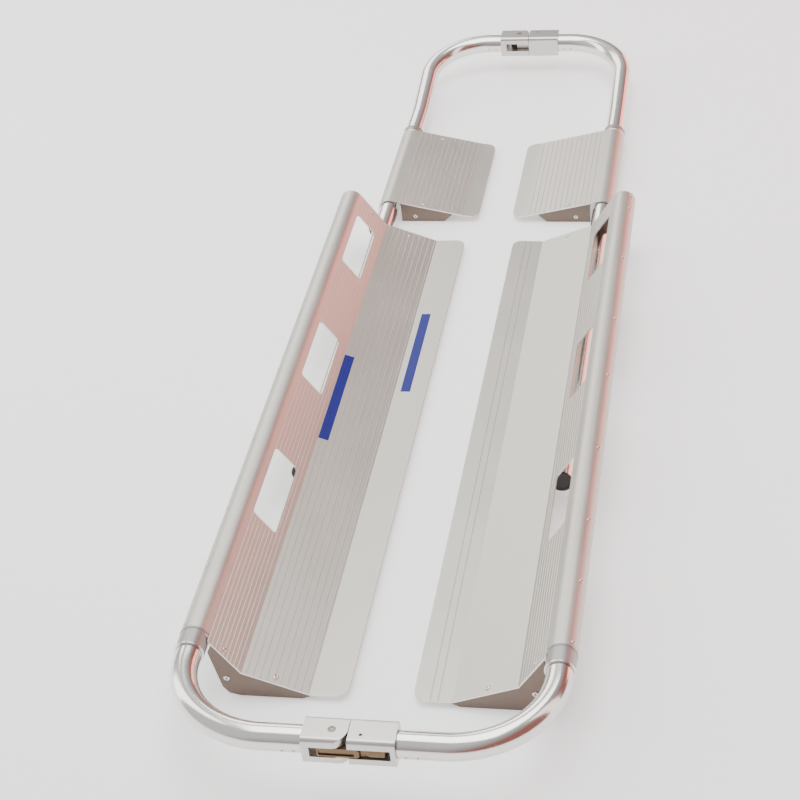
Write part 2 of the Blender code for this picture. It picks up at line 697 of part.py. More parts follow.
def fork_block(name, place, body, look):
    """The left block: a fork with a slot at mid height and a pin across it."""
    made = piece(name, body, look,
                 lambda shape: place.block(shape, -COUPLER_LENGTH / 2, SPLIT_X - SPLIT_CLEAR))
    cut(made, name + "_spigot", lambda shape: place.spigot(shape, -1), "UNION")
    past = COUPLER_HALF
    pin = Vector((COUPLER_PIN_X, PIN_DEPTH))
    front = math.degrees(math.asin(PIN_DEPTH / SLOT_SWING))
    rear = math.degrees(math.asin((2 * COUPLER_HALF - PIN_DEPTH) / SLOT_SWING))
    slot = [tuple(point) for point in
            arc(pin, SLOT_SWING, 180 + front, 180 - rear, BEND_STEPS)]
    slot += [(slot[-1][0], 3 * past), (past, 3 * past), (past, -past), (slot[0][0], -past)]
    cut(made, name + "_slot", lambda shape: place.slab(shape, slot, SLOT_HALF))

    def corner_and_bore(shape):
        swing = arc((COUPLER_PIN_X, PIN_DEPTH), PIN_SWING, -90, 0, BEND_STEPS)
        outline = [tuple(point) for point in swing]
        outline += [(past, PIN_DEPTH), (past, -past), (COUPLER_PIN_X, -past)]
        place.slab(shape, outline, 2 * COUPLER_HALF)
        place.upright(shape, COUPLER_PIN_X, PIN_DEPTH, COUPLER_PIN_RADIUS + GAP, 2 * COUPLER_HALF)

    cut(made, name + "_corner", corner_and_bore)
    return made


def coupling_pin(name, place, body, look):
    """The fork's pin, flush with the block's top, that the tongue hooks onto and turns on."""
    return piece(name, body, look,
                 lambda shape: place.upright(shape, COUPLER_PIN_X, PIN_DEPTH,
                                             COUPLER_PIN_RADIUS, COUPLER_HALF - GAP))


def tongue_block(name, place, body, look):
    """The right block: a tongue with a jaw for the pin, and a pocket for the latch.

    The tongue's rear finger fills the fork's slot; its tip swings inside the slot's round end.
    """
    made = piece(name, body, look,
                 lambda shape: place.block(shape, SPLIT_X + SPLIT_CLEAR, COUPLER_LENGTH / 2))
    cut(made, name + "_spigot", lambda shape: place.spigot(shape, 1), "UNION")

    jaw_radius = COUPLER_PIN_RADIUS + TONGUE_CLEAR
    front = PIN_DEPTH - TONGUE_HALF_WIDTH
    tip = COUPLER_PIN_X - TONGUE_TIP
    root = SPLIT_X + LATCH_LUG
    jaw = [tuple(point) for point in
           arc((COUPLER_PIN_X, PIN_DEPTH), jaw_radius, -90, 90, BEND_STEPS)]
    tongue = [(root, front), (tip, front), (tip, PIN_DEPTH - jaw_radius)] + jaw
    tongue += [(FINGER_X, PIN_DEPTH + jaw_radius), (FINGER_X, TONGUE_REAR)]
    tongue.append((root, TONGUE_REAR))
    cut(made, name + "_tongue", lambda shape: place.slab(shape, tongue, TONGUE_HALF), "UNION")

    past = COUPLER_HALF
    lug_room = 2 * LATCH_LUG
    arm_floor = front - TONGUE_CLEAR
    lug_floor = LATCH_PIVOT_DEPTH + LATCH_LUG + TONGUE_CLEAR
    pad_floor = LATCH_INSET + 2 * LATCH_BAR
    end_x = LATCH_END_X + LATCH_CLEAR
    pocket = [(-past, -past), (-past, arm_floor), (LATCH_PIVOT_X - lug_room, arm_floor)]
    pocket += [(LATCH_PIVOT_X - lug_room, lug_floor), (LATCH_PIVOT_X + lug_room, lug_floor)]
    pocket += [(LATCH_PIVOT_X + lug_room, pad_floor), (end_x, pad_floor), (end_x, -past)]
    cut(made, name + "_pocket", lambda shape: place.slab(shape, pocket, SLOT_HALF))
    cut(made, name + "_latch_bore",
        lambda shape: place.upright(shape, LATCH_PIVOT_X, LATCH_PIVOT_DEPTH,
                                    LATCH_PIN_RADIUS + GAP, 2 * COUPLER_HALF))
    return made


def latch_lever(name, place, body, look):
    """A rocking lever: a thumb pad on the right, a bar and a nose that closes on the pin."""
    face = LATCH_INSET
    back = face + LATCH_BAR
    nose_depth = PIN_DEPTH - COUPLER_PIN_RADIUS - NOSE_CLEAR
    lug = arc((LATCH_PIVOT_X, LATCH_PIVOT_DEPTH), LATCH_LUG, 180, 0, BEND_STEPS)
    outline = [(LATCH_TIP_X + LATCH_BEVEL, face), (LATCH_TIP_X, face + LATCH_BEVEL)]
    outline += [(LATCH_TIP_X, nose_depth), (LATCH_TIP_X + LATCH_NOSE, nose_depth)]
    outline += [(LATCH_TIP_X + LATCH_NOSE, back), (LATCH_PIVOT_X - LATCH_LUG, back)]
    outline += [tuple(point) for point in lug]
    outline += [(LATCH_PIVOT_X + LATCH_LUG, back), (LATCH_END_X, back)]
    outline += [(LATCH_END_X, face), (LATCH_END_X - LATCH_BEVEL, face)]
    outline += [(LATCH_END_X - LATCH_LUG, face + LATCH_BEVEL / 2)]
    outline += [(LATCH_PIVOT_X + LATCH_LUG, face + LATCH_BEVEL / 2), (LATCH_PIVOT_X, face)]
    made = piece(name, body, look, lambda shape: place.slab(shape, outline, TONGUE_HALF))
    cut(made, name + "_bore",
        lambda shape: place.upright(shape, LATCH_PIVOT_X, LATCH_PIVOT_DEPTH,
                                    LATCH_PIN_RADIUS + GAP, 2 * COUPLER_HALF))
    return made


def latch_pin(name, place, body, look):
    """The latch's pivot, sunk a little into the block's top."""
    return piece(name, body, look,
                 lambda shape: place.upright(shape, LATCH_PIVOT_X, LATCH_PIVOT_DEPTH,
                                             LATCH_PIN_RADIUS, COUPLER_HALF - TUBE_WALL))


def latch_spring(name, place, body, look):
    """A short coil between the pocket's floor and the thumb pad."""
    start = LATCH_INSET + LATCH_BAR + GAP + SPRING_WIRE
    length = LATCH_BAR - 2 * (GAP + SPRING_WIRE)
    last = SPRING_TURNS * SPRING_STEPS
    path = []
    for step in range(last + 1):
        angle = math.tau * step / SPRING_STEPS
        x = LATCH_SPRING_X + LATCH_SPRING_RADIUS * math.cos(angle)
        z = place.z + LATCH_SPRING_RADIUS * math.sin(angle)
        path.append(Vector((x, place.at_depth(start + length * step / last), z)))
    return piece(name, body, look, lambda shape: swept(shape, path, (SPRING_WIRE,), SPRING_SIDES))


# ---- The stretcher ---------------------------------------------------------------------------
def main_section(half, side, body, lock, looks):
    """Everything that stays with one half's long section."""
    side_tube(half + "_side_tube", side, body, looks["tube"])
    main_panel(half + "_main_panel", side, body, looks["panel"])
    collar(half + "_head_collar", side, RAIL, MAIN_START - COLLAR_FRONT,
           COLLAR_FRONT + COLLAR_LAP, body, looks["collar"])
    main_plate(half + "_head_plate", side, MAIN_START + PLATE_INSET, 1, body, looks["plate"])
    foot_plate(half + "_foot_plate", side, body, looks["plate"])
    end_plug(half + "_rail_plug", side, RAIL, MAIN_END - GAP, -1, body, looks["plastic"])
    guide_block(half + "_guide_block", side, body, looks["plastic"])
    lock_housing(half + "_lock_housing", side, body, looks["steel"])
    lock_plunger(half + "_lock_plunger", side, lock, looks["steel"])
    lock_knob(half + "_lock_knob", side, lock, looks["plastic"])


def leg_section(half, side, body, looks):
    """Everything that slides with one half's leg section."""
    leg_tube(half + "_leg_tube", side, body, looks["tube"])
    leg_panel(half + "_leg_panel", side, body, looks["panel"])
    collar(half + "_leg_collar", side, LEG_AXIS, LEG_END + GAP, LEG_COLLAR_LENGTH, body,
           looks["collar"])
    leg_plate(half + "_leg_near_plate", side, LEG_START + PLATE_INSET, 1, body, looks["plate"])
    leg_plate(half + "_leg_far_plate", side, LEG_END - PLATE_INSET, -1, body, looks["plate"])
    end_plug(half + "_tail_plug", side, LEG_AXIS, TAIL_Y, 1, body, looks["plastic"])


def coupling(end, place, left, right, latch, looks):
    """One coupling: fork and pin on the left half, tongue and latch on the right half."""
    fork_block(end + "_fork_block", place, left, looks["block"])
    coupling_pin(end + "_coupling_pin", place, left, looks["steel"])
    tongue_block(end + "_tongue_block", place, right, looks["block"])
    latch_lever(end + "_latch_lever", place, latch, looks["latch"])
    latch_pin(end + "_latch_pin", place, right, looks["steel"])
    latch_spring(end + "_latch_spring", place, right, looks["steel"])


def build():
    for old in list(bpy.data.objects):
        bpy.data.objects.remove(old, do_unlink=True)
    looks = {
        "tube": material("polished_tube", (0.78, 0.76, 0.73), 0.22, 1.0),
        "panel": material("brushed_panel", (0.68, 0.66, 0.61), 0.42, 1.0),
        "plate": material("dark_plate", (0.36, 0.31, 0.28), 0.45, 1.0),
        "block": material("coupler_block", (0.74, 0.72, 0.68), 0.34, 1.0),
        "latch": material("latch_steel", (0.50, 0.42, 0.34), 0.38, 1.0),
        "steel": material("bright_steel", (0.60, 0.58, 0.56), 0.25, 1.0),
        "collar": material("collar_metal", (0.45, 0.44, 0.44), 0.40, 0.8),
        "plastic": material("black_plastic", (0.03, 0.03, 0.03), 0.55, 0.0),
    }
    head = Coupling(HEAD_Y, RAIL_Z, -1)
    foot = Coupling(FOOT_Y, FOOT_Z, 1)
    foot_pin = (COUPLER_PIN_X, foot.at_depth(PIN_DEPTH), FOOT_Z)
    head_pivot = (LATCH_PIVOT_X, head.at_depth(LATCH_PIVOT_DEPTH), RAIL_Z)
    foot_pivot = (LATCH_PIVOT_X, foot.at_depth(LATCH_PIVOT_DEPTH), FOOT_Z)

    left_main = body_empty("left_main", (0, 0, 0))
    left_leg = body_empty("left_leg", (-LEG_X, LEG_START, LEG_Z))
    right_leg = body_empty("right_leg", foot_pin)
    right_main = body_empty("right_main", (LEG_X, MAIN_END, LEG_Z))
    left_lock = body_empty("left_lock", (-LEG_X, GUIDE_Y, LEG_Z))
    right_lock = body_empty("right_lock", (LEG_X, GUIDE_Y, LEG_Z))
    head_latch = body_empty("head_latch", head_pivot)
    foot_latch = body_empty("foot_latch", foot_pivot)

    main_section("left", -1, left_main, left_lock, looks)
    main_section("right", 1, right_main, right_lock, looks)
    leg_section("left", -1, left_leg, looks)
    leg_section("right", 1, right_leg, looks)
    coupling("head", head, left_main, right_main, head_latch, looks)
    coupling("foot", foot, left_leg, right_leg, foot_latch, looks)


build()
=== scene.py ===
# %% [markdown]
# # An aluminium scoop stretcher
# The stretcher is two long halves of extruded aluminium that part down the middle and close
# under a lying person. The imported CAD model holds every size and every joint. This script
# keeps that model as its frame and makes the surfaces that the eye sees: grooved panels,
# smooth bent tubes, bevelled couplings, latches, screws, and their metals and plastics.

import json
import math

import bmesh
import bpy
from mathutils import Matrix, Vector


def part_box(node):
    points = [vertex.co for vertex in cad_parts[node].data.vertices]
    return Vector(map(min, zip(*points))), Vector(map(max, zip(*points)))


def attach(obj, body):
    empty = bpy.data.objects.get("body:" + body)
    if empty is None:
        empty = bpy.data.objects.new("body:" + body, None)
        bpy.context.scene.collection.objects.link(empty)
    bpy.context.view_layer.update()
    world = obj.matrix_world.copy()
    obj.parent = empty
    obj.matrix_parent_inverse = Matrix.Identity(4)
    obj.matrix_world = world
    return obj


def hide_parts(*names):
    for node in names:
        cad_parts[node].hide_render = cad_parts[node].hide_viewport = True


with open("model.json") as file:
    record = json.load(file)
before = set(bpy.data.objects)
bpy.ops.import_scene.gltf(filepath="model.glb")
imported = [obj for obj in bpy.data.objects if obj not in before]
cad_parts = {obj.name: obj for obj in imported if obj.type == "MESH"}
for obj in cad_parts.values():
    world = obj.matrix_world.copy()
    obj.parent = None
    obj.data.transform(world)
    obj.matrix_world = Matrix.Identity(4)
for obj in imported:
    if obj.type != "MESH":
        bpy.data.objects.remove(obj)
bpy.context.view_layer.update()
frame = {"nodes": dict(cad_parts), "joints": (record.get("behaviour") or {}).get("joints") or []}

# %% [markdown]
# ## Sizes
# The tubes, the plates and the couplings are placed by the boxes of their CAD nodes, so they
# follow the frame. The panel's section is a handful of named lengths, as on a die drawing:
# an edge strip, a sloping blade, a steep web, and a curl that wraps the side rail.

# %% Sizes from the frame
SIDES = {"left": -1, "right": 1}


def node_box(node):
    """A CAD node's lowest and highest corners."""
    low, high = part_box(node)
    return Vector(low), Vector(high)


def middle(node):
    low, high = node_box(node)
    return (low + high) / 2


collar_low, collar_high = node_box("right_head_collar")
panel_low, panel_high = node_box("right_main_panel")
leg_low, leg_high = node_box("right_leg_panel")
RAIL = Vector((middle("right_rail_plug").x, middle("right_rail_plug").z))
LEG = Vector((middle("right_tail_plug").x, middle("right_tail_plug").z))
MAIN_START, MAIN_END = panel_low.y, panel_high.y
LEG_START, LEG_END = leg_low.y, leg_high.y
HEAD = middle("head_fork_block")
FOOT = middle("foot_fork_block")
TUBE_RADIUS = 0.0145
TUBE_WALL = 0.002
SHEET = 0.0014
HAIR = 0.0003
CURL_RADIUS = TUBE_RADIUS + 2 * HAIR + SHEET
FOLD = Vector((RAIL.x - 0.048, 0.0355))
BREAK = Vector((0.079, 0.0076))
EDGE = Vector((panel_low.x, 0.0088))
LEG_BREAK = Vector((0.0487, 0.0111))
LEG_EDGE = Vector((leg_low.x, 0.0085))
print("rail", RAIL, "leg tube", LEG, "main panel", MAIN_START, MAIN_END)


# %% [markdown]
# ## Helpers for mesh work
# Every piece is drawn in place, in metres, with its object at the origin, so it rides on its
# CAD body without any fitting. A prism, a turned ring and a swept tube cover most of a
# stretcher, because it is sawn from extrusions, turned on a lathe, and bent from tube.

# %% Mesh helpers
def arc(centre, radius, start, end, steps):
    """Points along an arc, both ends included, angles in degrees."""
    points = []
    for step in range(steps + 1):
        angle = math.radians(start + (end - start) * step / steps)
        points.append(Vector(centre) + radius * Vector((math.cos(angle), math.sin(angle))))
    return points


def offset_chain(chain, distance):
    """A copy of an open chain of points, moved to its right-hand side."""
    moved = []
    for index, point in enumerate(chain):
        before = chain[max(index - 1, 0)]
        after = chain[min(index + 1, len(chain) - 1)]
        first = (point - before) if index else (after - point)
        second = (after - point) if index < len(chain) - 1 else first
        normals = [Vector((leg.y, -leg.x)).normalized() for leg in (first, second)]
        mitre = (normals[0] + normals[1]).normalized()
        moved.append(point + mitre * distance / mitre.dot(normals[0]))
    return moved


def rounded_box(width, height, radius, steps=6):
    """Outline of a rectangle about the origin with rounded corners."""
    points = []
    for quarter, (side_x, side_y) in enumerate([(1, 1), (-1, 1), (-1, -1), (1, -1)]):
        centre = (side_x * (width / 2 - radius), side_y * (height / 2 - radius))
        points += arc(centre, radius, 90 * quarter, 90 * quarter + 90, steps)
    return points


def prism(shape, outline, start, end, place):
    """A flat outline pushed from start to end; place turns (a, b, depth) into a point."""
    low = [shape.verts.new(place(a, b, start)) for a, b in outline]
    high = [shape.verts.new(place(a, b, end)) for a, b in outline]
    shape.faces.new(low)
    shape.faces.new(high)
    for index in range(len(low)):
        after = (index + 1) % len(low)
        shape.faces.new((low[index], low[after], high[after], high[index]))


def along_y(side):
    """Places outlines in X and Z on the left (-1) or right (+1) half, pushed along Y."""
    return lambda a, b, depth: (side * a, depth, b)


def turned(shape, profile, centre, axis, sides=48):
    """A profile of (radius, distance) turned about an axis; a ring closes on itself."""
    axis = Vector(axis).normalized()
    across = axis.orthogonal().normalized()
    other = axis.cross(across)
    rings = []
    for radius, distance in profile:
        centre_here = Vector(centre) + axis * distance
        if radius == 0:
            rings.append([shape.verts.new(centre_here)] * sides)
            continue
        turn = [math.tau * step / sides for step in range(sides)]
        spokes = [across * math.cos(angle) + other * math.sin(angle) for angle in turn]
        rings.append([shape.verts.new(centre_here + radius * spoke) for spoke in spokes])
    solid = profile[0][0] == 0
    pairs = list(zip(rings, rings[1:])) if solid else list(zip(rings, rings[1:] + rings[:1]))
    for first, second in pairs:
        for step in range(sides):
            after = (step + 1) % sides
            corners = [first[step], first[after], second[after], second[step]]
            shape.faces.new(list(dict.fromkeys(corners)))


def rod(shape, radius, start, end, sides=32):
    """A plain round bar between two points."""
    reach = Vector(end) - Vector(start)
    profile = [(0, 0), (radius, 0), (radius, reach.length), (0, reach.length)]
    turned(shape, profile, start, reach, sides)


def placed(name, data):
    """An object in the scene that holds the given mesh, light or camera."""
    made = bpy.data.objects.new(name, data)
    bpy.context.scene.collection.objects.link(made)
    return made


def object_from(name, build, look=None, sharp=30):
    """An object whose mesh a build function draws, faces outwards, rounds smooth."""
    shape = bmesh.new()
    build(shape)
    bmesh.ops.recalc_face_normals(shape, faces=shape.faces)
    mesh = bpy.data.meshes.new(name)
    shape.to_mesh(mesh)
    shape.free()
    mesh.shade_smooth()
    mesh.set_sharp_from_angle(angle=math.radians(sharp))
    made = placed(name, mesh)
    if look:
        mesh.materials.append(look)
    return made


def drop(thing):
    bpy.data.objects.remove(thing, do_unlink=True)


def flatten(thing):
    """Turns an object with live modifiers into a plain mesh object of the same name."""
    name = thing.name
    graph = bpy.context.evaluated_depsgraph_get()
    mesh = bpy.data.meshes.new_from_object(thing.evaluated_get(graph), depsgraph=graph)
    drop(thing)
    mesh.name = name
    return placed(name, mesh)


def cut(target, build, operation="DIFFERENCE"):
    """Cuts a drawn shape out of an object, or joins one to it."""
    tool = object_from(target.name + "_tool", build)
    modifier = target.modifiers.new("cut", "BOOLEAN")
    modifier.operation = operation
    modifier.solver = "EXACT"
    modifier.object = tool
    made = flatten(target)
    drop(tool)
    return made


def soften(target, width, angle=40, segments=2):
    """Rounds an object's sharp edges by a small width."""
    modifier = target.modifiers.new("soften", "BEVEL")
    modifier.width = width
    modifier.segments = segments
    modifier.limit_method = "ANGLE"
    modifier.angle_limit = math.radians(angle)
    made = flatten(target)
    made.data.shade_smooth()
    made.data.set_sharp_from_angle(angle=math.radians(35))
    modifier = made.modifiers.new("flat_faces", "WEIGHTED_NORMAL")
    modifier.keep_sharp = True
    return flatten(made)


def finish_piece(piece, body, slot, *nodes):
    """Rides a piece on its body in place of its CAD nodes."""
    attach(piece, body)
    if nodes:
        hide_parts(*nodes)
    print(piece.name, "faces", len(piece.data.polygons), "rides on", body)


# %% [markdown]
# ## Metals and plastics
# Extruded aluminium is drawn through a die, so its shine runs in streaks along the part. One
# node group makes those streaks from noise that is stretched along Y, together with a slow
# mottling from handling. Each metal sets its own strength and its own tint.

# %% Node groups
def link_all(tree, pairs):
    for output, target in pairs:
        tree.links.new(output, target)


def add_node(tree, kind, inputs=(), **settings):
    """A node with its settings and the fixed values of its inputs."""
    made = tree.nodes.new(kind)
    for name, value in settings.items():
        setattr(made, name, value)
    for socket, value in dict(inputs).items():
        made.inputs[socket].default_value = value
    return made


def sockets(face, direction, kind, *names):
    """Adds named sockets of one kind to a node group's face."""
    for name in names:
        face.new_socket(name, in_out=direction, socket_type="NodeSocket" + kind)


def drawn_metal_group():
    """Streaks along the part, handling marks and dust, as masks, a colour and a normal."""
    group = bpy.data.node_groups.new("drawn_metal", "ShaderNodeTree")
    face = group.interface
    for name, default in (("Fineness", 900.0), ("Stretch", 0.012), ("Mottle Scale", 9.0),
                          ("Roughness", 0.35), ("Streak", 0.10), ("Mottle", 0.10),
                          ("Grain Depth", 0.04)):
        face.new_socket(name, in_out="INPUT", socket_type="NodeSocketFloat").default_value = default
    sockets(face, "INPUT", "Color", "Colour", "Dark Colour")
    sockets(face, "OUTPUT", "Color", "Colour")
    sockets(face, "OUTPUT", "Float", "Roughness")
    sockets(face, "OUTPUT", "Vector", "Normal")
    given = group.nodes.new("NodeGroupInput")
    result = group.nodes.new("NodeGroupOutput")
    place = group.nodes.new("ShaderNodeTexCoord")
    stretch = add_node(group, "ShaderNodeCombineXYZ", {"X": 1, "Z": 1})
    scaled = add_node(group, "ShaderNodeVectorMath", operation="MULTIPLY")
    streak = add_node(group, "ShaderNodeTexNoise", {"Detail": 3})
    mottle = add_node(group, "ShaderNodeTexNoise", {"Detail": 5, "Roughness": 0.65})
    streak_part = add_node(group, "ShaderNodeMath", operation="MULTIPLY_ADD")
    mottle_part = add_node(group, "ShaderNodeMath", operation="MULTIPLY_ADD")
    centred = add_node(group, "ShaderNodeMath", {1: 0.5}, operation="SUBTRACT")
    centred_mottle = add_node(group, "ShaderNodeMath", {1: 0.5}, operation="SUBTRACT")
    tint = add_node(group, "ShaderNodeMix", data_type="RGBA")
    blend = add_node(group, "ShaderNodeMath", {1: 0.35}, operation="MULTIPLY_ADD",
                     use_clamp=True)
    bump = add_node(group, "ShaderNodeBump", {"Distance": 0.0002})
    link_all(group, [
        (given.outputs["Stretch"], stretch.inputs["Y"]),
        (place.outputs["Object"], scaled.inputs[0]),
        (stretch.outputs[0], scaled.inputs[1]),
        (scaled.outputs[0], streak.inputs["Vector"]),
        (given.outputs["Fineness"], streak.inputs["Scale"]),
        (place.outputs["Object"], mottle.inputs["Vector"]),
        (given.outputs["Mottle Scale"], mottle.inputs["Scale"]),
        (streak.outputs["Fac"], centred.inputs[0]),
        (mottle.outputs["Fac"], centred_mottle.inputs[0]),
        (centred.outputs[0], streak_part.inputs[0]),
        (given.outputs["Streak"], streak_part.inputs[1]),
        (given.outputs["Roughness"], streak_part.inputs[2]),
        (centred_mottle.outputs[0], mottle_part.inputs[0]),
        (given.outputs["Mottle"], mottle_part.inputs[1]),
        (streak_part.outputs[0], mottle_part.inputs[2]),
        (mottle_part.outputs[0], result.inputs["Roughness"]),
        (streak.outputs["Fac"], blend.inputs[0]),
        (mottle.outputs["Fac"], blend.inputs[2]),
        (blend.outputs[0], tint.inputs["Factor"]),
        (given.outputs["Dark Colour"], tint.inputs["A"]),
        (given.outputs["Colour"], tint.inputs["B"]),
        (tint.outputs["Result"], result.inputs["Colour"]),
        (streak.outputs["Fac"], bump.inputs["Height"]),
        (given.outputs["Grain Depth"], bump.inputs["Strength"]),
        (bump.outputs[0], result.inputs["Normal"]),
    ])
    return group


DRAWN_METAL = drawn_metal_group()


def metal(name, colour, dark, roughness, metallic=1.0, **settings):
    """A metal whose streaks, mottling and tint come from the drawn-metal group."""
    made = bpy.data.materials.new(name)
    made.use_nodes = True
    tree = made.node_tree
    surface = tree.nodes["Principled BSDF"]
    surface.inputs["Metallic"].default_value = metallic
    grain = tree.nodes.new("ShaderNodeGroup")
    grain.node_tree = DRAWN_METAL
    grain.inputs["Colour"].default_value = (*colour, 1)
    grain.inputs["Dark Colour"].default_value = (*dark, 1)
    grain.inputs["Roughness"].default_value = roughness
    for socket, value in settings.items():
        grain.inputs[socket.replace("_", " ").title()].default_value = value
    link_all(tree, [
        (grain.outputs["Colour"], surface.inputs["Base Color"]),
        (grain.outputs["Roughness"], surface.inputs["Roughness"]),
        (grain.outputs["Normal"], surface.inputs["Normal"]),
    ])
    return made


# %% Materials
# The bright metal for sawn ends is lighter than the panels: raw cut aluminium plus a painted
# highlight where the edges catch the light.
SAWN_HIGHLIGHT = metal("sawn_edge", (0.86, 0.84, 0.80), (0.72, 0.70, 0.66), 0.24,
             fineness=1200.0, stretch=1.0, streak=0.10, mottle=0.10, grain_depth=0.05)
PANEL = metal("satin_panel", (0.60, 0.578, 0.535), (0.50, 0.48, 0.44), 0.46,
              fineness=1400.0, stretch=0.006, streak=0.16, mottle=0.12, grain_depth=0.10)
TUBE = metal("polished_tube", (0.80, 0.785, 0.76), (0.66, 0.645, 0.62), 0.17,
             fineness=500.0, stretch=0.02, streak=0.07, mottle=0.10, grain_depth=0.02)
BLOCK = metal("satin_block", (0.64, 0.63, 0.60), (0.52, 0.51, 0.48), 0.34,
              fineness=900.0, stretch=0.5, streak=0.10, mottle=0.14, grain_depth=0.05)
PLATE = metal("dark_plate", (0.20, 0.155, 0.13), (0.115, 0.085, 0.07), 0.40,
              fineness=700.0, stretch=0.6, streak=0.12, mottle=0.18, grain_depth=0.06)
LATCH = metal("latch_steel", (0.20, 0.135, 0.085), (0.12, 0.08, 0.05), 0.30,
              fineness=900.0, stretch=0.8, streak=0.10, mottle=0.16, grain_depth=0.05)
STEEL = metal("bright_steel", (0.72, 0.70, 0.67), (0.55, 0.53, 0.50), 0.22,
              fineness=1200.0, stretch=1.0, streak=0.08, mottle=0.10, grain_depth=0.03)
HOOK = metal("hook_pin_steel", (0.36, 0.31, 0.26), (0.25, 0.21, 0.175), 0.34,
             fineness=1200.0, stretch=1.0, streak=0.08, mottle=0.14, grain_depth=0.04)
COLLAR = metal("grey_collar", (0.42, 0.41, 0.41), (0.27, 0.26, 0.26), 0.42, 0.85,
               fineness=600.0, stretch=1.0, streak=0.12, mottle=0.20, grain_depth=0.12)
NYLON = metal("black_nylon", (0.035, 0.035, 0.036), (0.02, 0.02, 0.02), 0.52, 0.0,
              fineness=800.0, stretch=1.0, streak=0.14, mottle=0.16, grain_depth=0.20)
print("materials", [look.name for look in bpy.data.materials if look.users])

# %% [markdown]
# ## Ribbed panels
# Each panel is one extrusion, so its section says everything: fine ribs run its whole length
# on the blade and on the web, which stop a hand or a sheet from slipping. The section is
# drawn as one chain with a small step at each rib, then pushed along Y. The hand holes and
# the round corners are milled afterwards, which a Boolean does here, and the sawn ends get
# a brighter metal: raw cut aluminium with a painted highlight where their edges catch light.

# %% Panel section
LINE_WIDTH = 0.0015
BLADE_RIBS = (0.03, 0.93, 10)
RIB = 0.0004
GROOVE = -0.0005
BEND_ANGLE = 12


def tangent_angle(start, centre, radius):
    """Slope of the line from a point that just touches a circle's upper side."""
    reach = centre - start
    return math.atan2(reach.y, reach.x) + math.asin(radius / reach.length)


def along(start, slope, distance):
    return start + distance * Vector((math.cos(slope), math.sin(slope)))


def lined(start, end, first, last, count, rise):
    """Points from start to end with ribs (or grooves) between two shares of the way."""
    reach = end - start
    ahead = reach.normalized()
    up = Vector((-ahead.y, ahead.x)) * rise
    points = []
    for index in range(count):
        share = first + (last - first) * index / max(count - 1, 1)
        centre = start + reach * share
        points.append(centre - ahead * LINE_WIDTH / 2)
        points.append(centre - ahead * LINE_WIDTH / 5 + up)
        points.append(centre + ahead * LINE_WIDTH / 5 + up)
        points.append(centre + ahead * LINE_WIDTH / 2)
    return points


WEB_SLOPE = tangent_angle(FOLD, RAIL, CURL_RADIUS)
WEB_LENGTH = math.sqrt((RAIL - FOLD).length_squared - CURL_RADIUS**2)
LEG_SLOPE = tangent_angle(LEG_BREAK, LEG, CURL_RADIUS)
CURL_STEPS = 36


def panel_section(plain, upper):
    """A closed section: the ribbed upper surface, a round inner edge, the plain underside."""
    under = offset_chain(plain, SHEET)
    edge_middle = (upper[0] + under[0]) / 2
    start = math.degrees(math.atan2(*(under[0] - edge_middle).yx))
    nose = arc(edge_middle, SHEET / 2, start, start - 180, 6)[1:-1]
    return upper + list(reversed(under)) + nose


def main_section(side):
    top = along(FOLD, WEB_SLOPE, WEB_LENGTH)
    curl = arc(RAIL, CURL_RADIUS, math.degrees(WEB_SLOPE) + 90, -85, CURL_STEPS)
    if side < 0:
        upper = [EDGE, BREAK] + lined(BREAK, FOLD, *BLADE_RIBS, RIB) + [FOLD]
    else:
        upper = [EDGE] + lined(EDGE, BREAK, 0.44, 0.64, 2, GROOVE) + [BREAK, FOLD]
    upper += lined(FOLD, top, 0.10, 0.88, 9, RIB) + curl
    return panel_section([EDGE, BREAK, FOLD] + curl, upper)


def leg_section():
    top = along(LEG_BREAK, LEG_SLOPE, (LEG - LEG_BREAK).length)
    curl = arc(LEG, CURL_RADIUS, math.degrees(LEG_SLOPE) + 90, -80, CURL_STEPS)
    upper = [LEG_EDGE, LEG_BREAK] + lined(LEG_BREAK, top, 0.03, 0.86, 13, RIB) + curl
    return panel_section([LEG_EDGE, LEG_BREAK] + curl, upper)


# %% Panel cuts
EDGE_CORNER = 0.013
WINDOW_LENGTH = 0.1225
WINDOW_PITCH = 0.2748
WINDOW_FROM_END = 0.108
WINDOW_COUNT = 3
WINDOW_LOW = 0.0145
WINDOW_HIGH = WEB_LENGTH - 0.0065
WINDOW_CORNER = 0.005
HIGHLIGHT_FACING = 0.95
COLLAR_RADIUS = (collar_high.x - collar_low.x) / 2
WINDOW_CENTRES = [MAIN_END - WINDOW_FROM_END - index * WINDOW_PITCH
                  for index in range(WINDOW_COUNT)]


def corner_tools(shape, side, edge_x, start, end):
    """Rounds the two inner corners of a panel."""
    beyond = EDGE_CORNER
    for y, outwards in ((start, -1), (end, 1)):
        centre = (edge_x + EDGE_CORNER, y - outwards * EDGE_CORNER)
        outline = [(edge_x - beyond, y - outwards * EDGE_CORNER)]
        outline += [tuple(p) for p in arc(centre, EDGE_CORNER, 180, 180 - 90 * outwards, 16)]
        outline += [(edge_x + EDGE_CORNER, y + outwards * beyond)]
        outline += [(edge_x - beyond, y + outwards * beyond)]
        mirrored = [(side * a, b) for a, b in outline]
        prism(shape, mirrored, -TUBE_RADIUS, FOLD.y, lambda a, b, depth: (a, b, depth))


def window_tools(shape, side):
    normal = Vector((-math.sin(WEB_SLOPE), math.cos(WEB_SLOPE)))
    hole = rounded_box(WINDOW_LENGTH, WINDOW_HIGH - WINDOW_LOW, WINDOW_CORNER)
    for centre_y in WINDOW_CENTRES:
        def place(a, b, depth):
            spot = along(FOLD, WEB_SLOPE, (WINDOW_LOW + WINDOW_HIGH) / 2 + b) + normal * depth
            return (side * spot.x, centre_y + a, spot.y)
        prism(shape, hole, -3 * SHEET, 2 * SHEET, place)


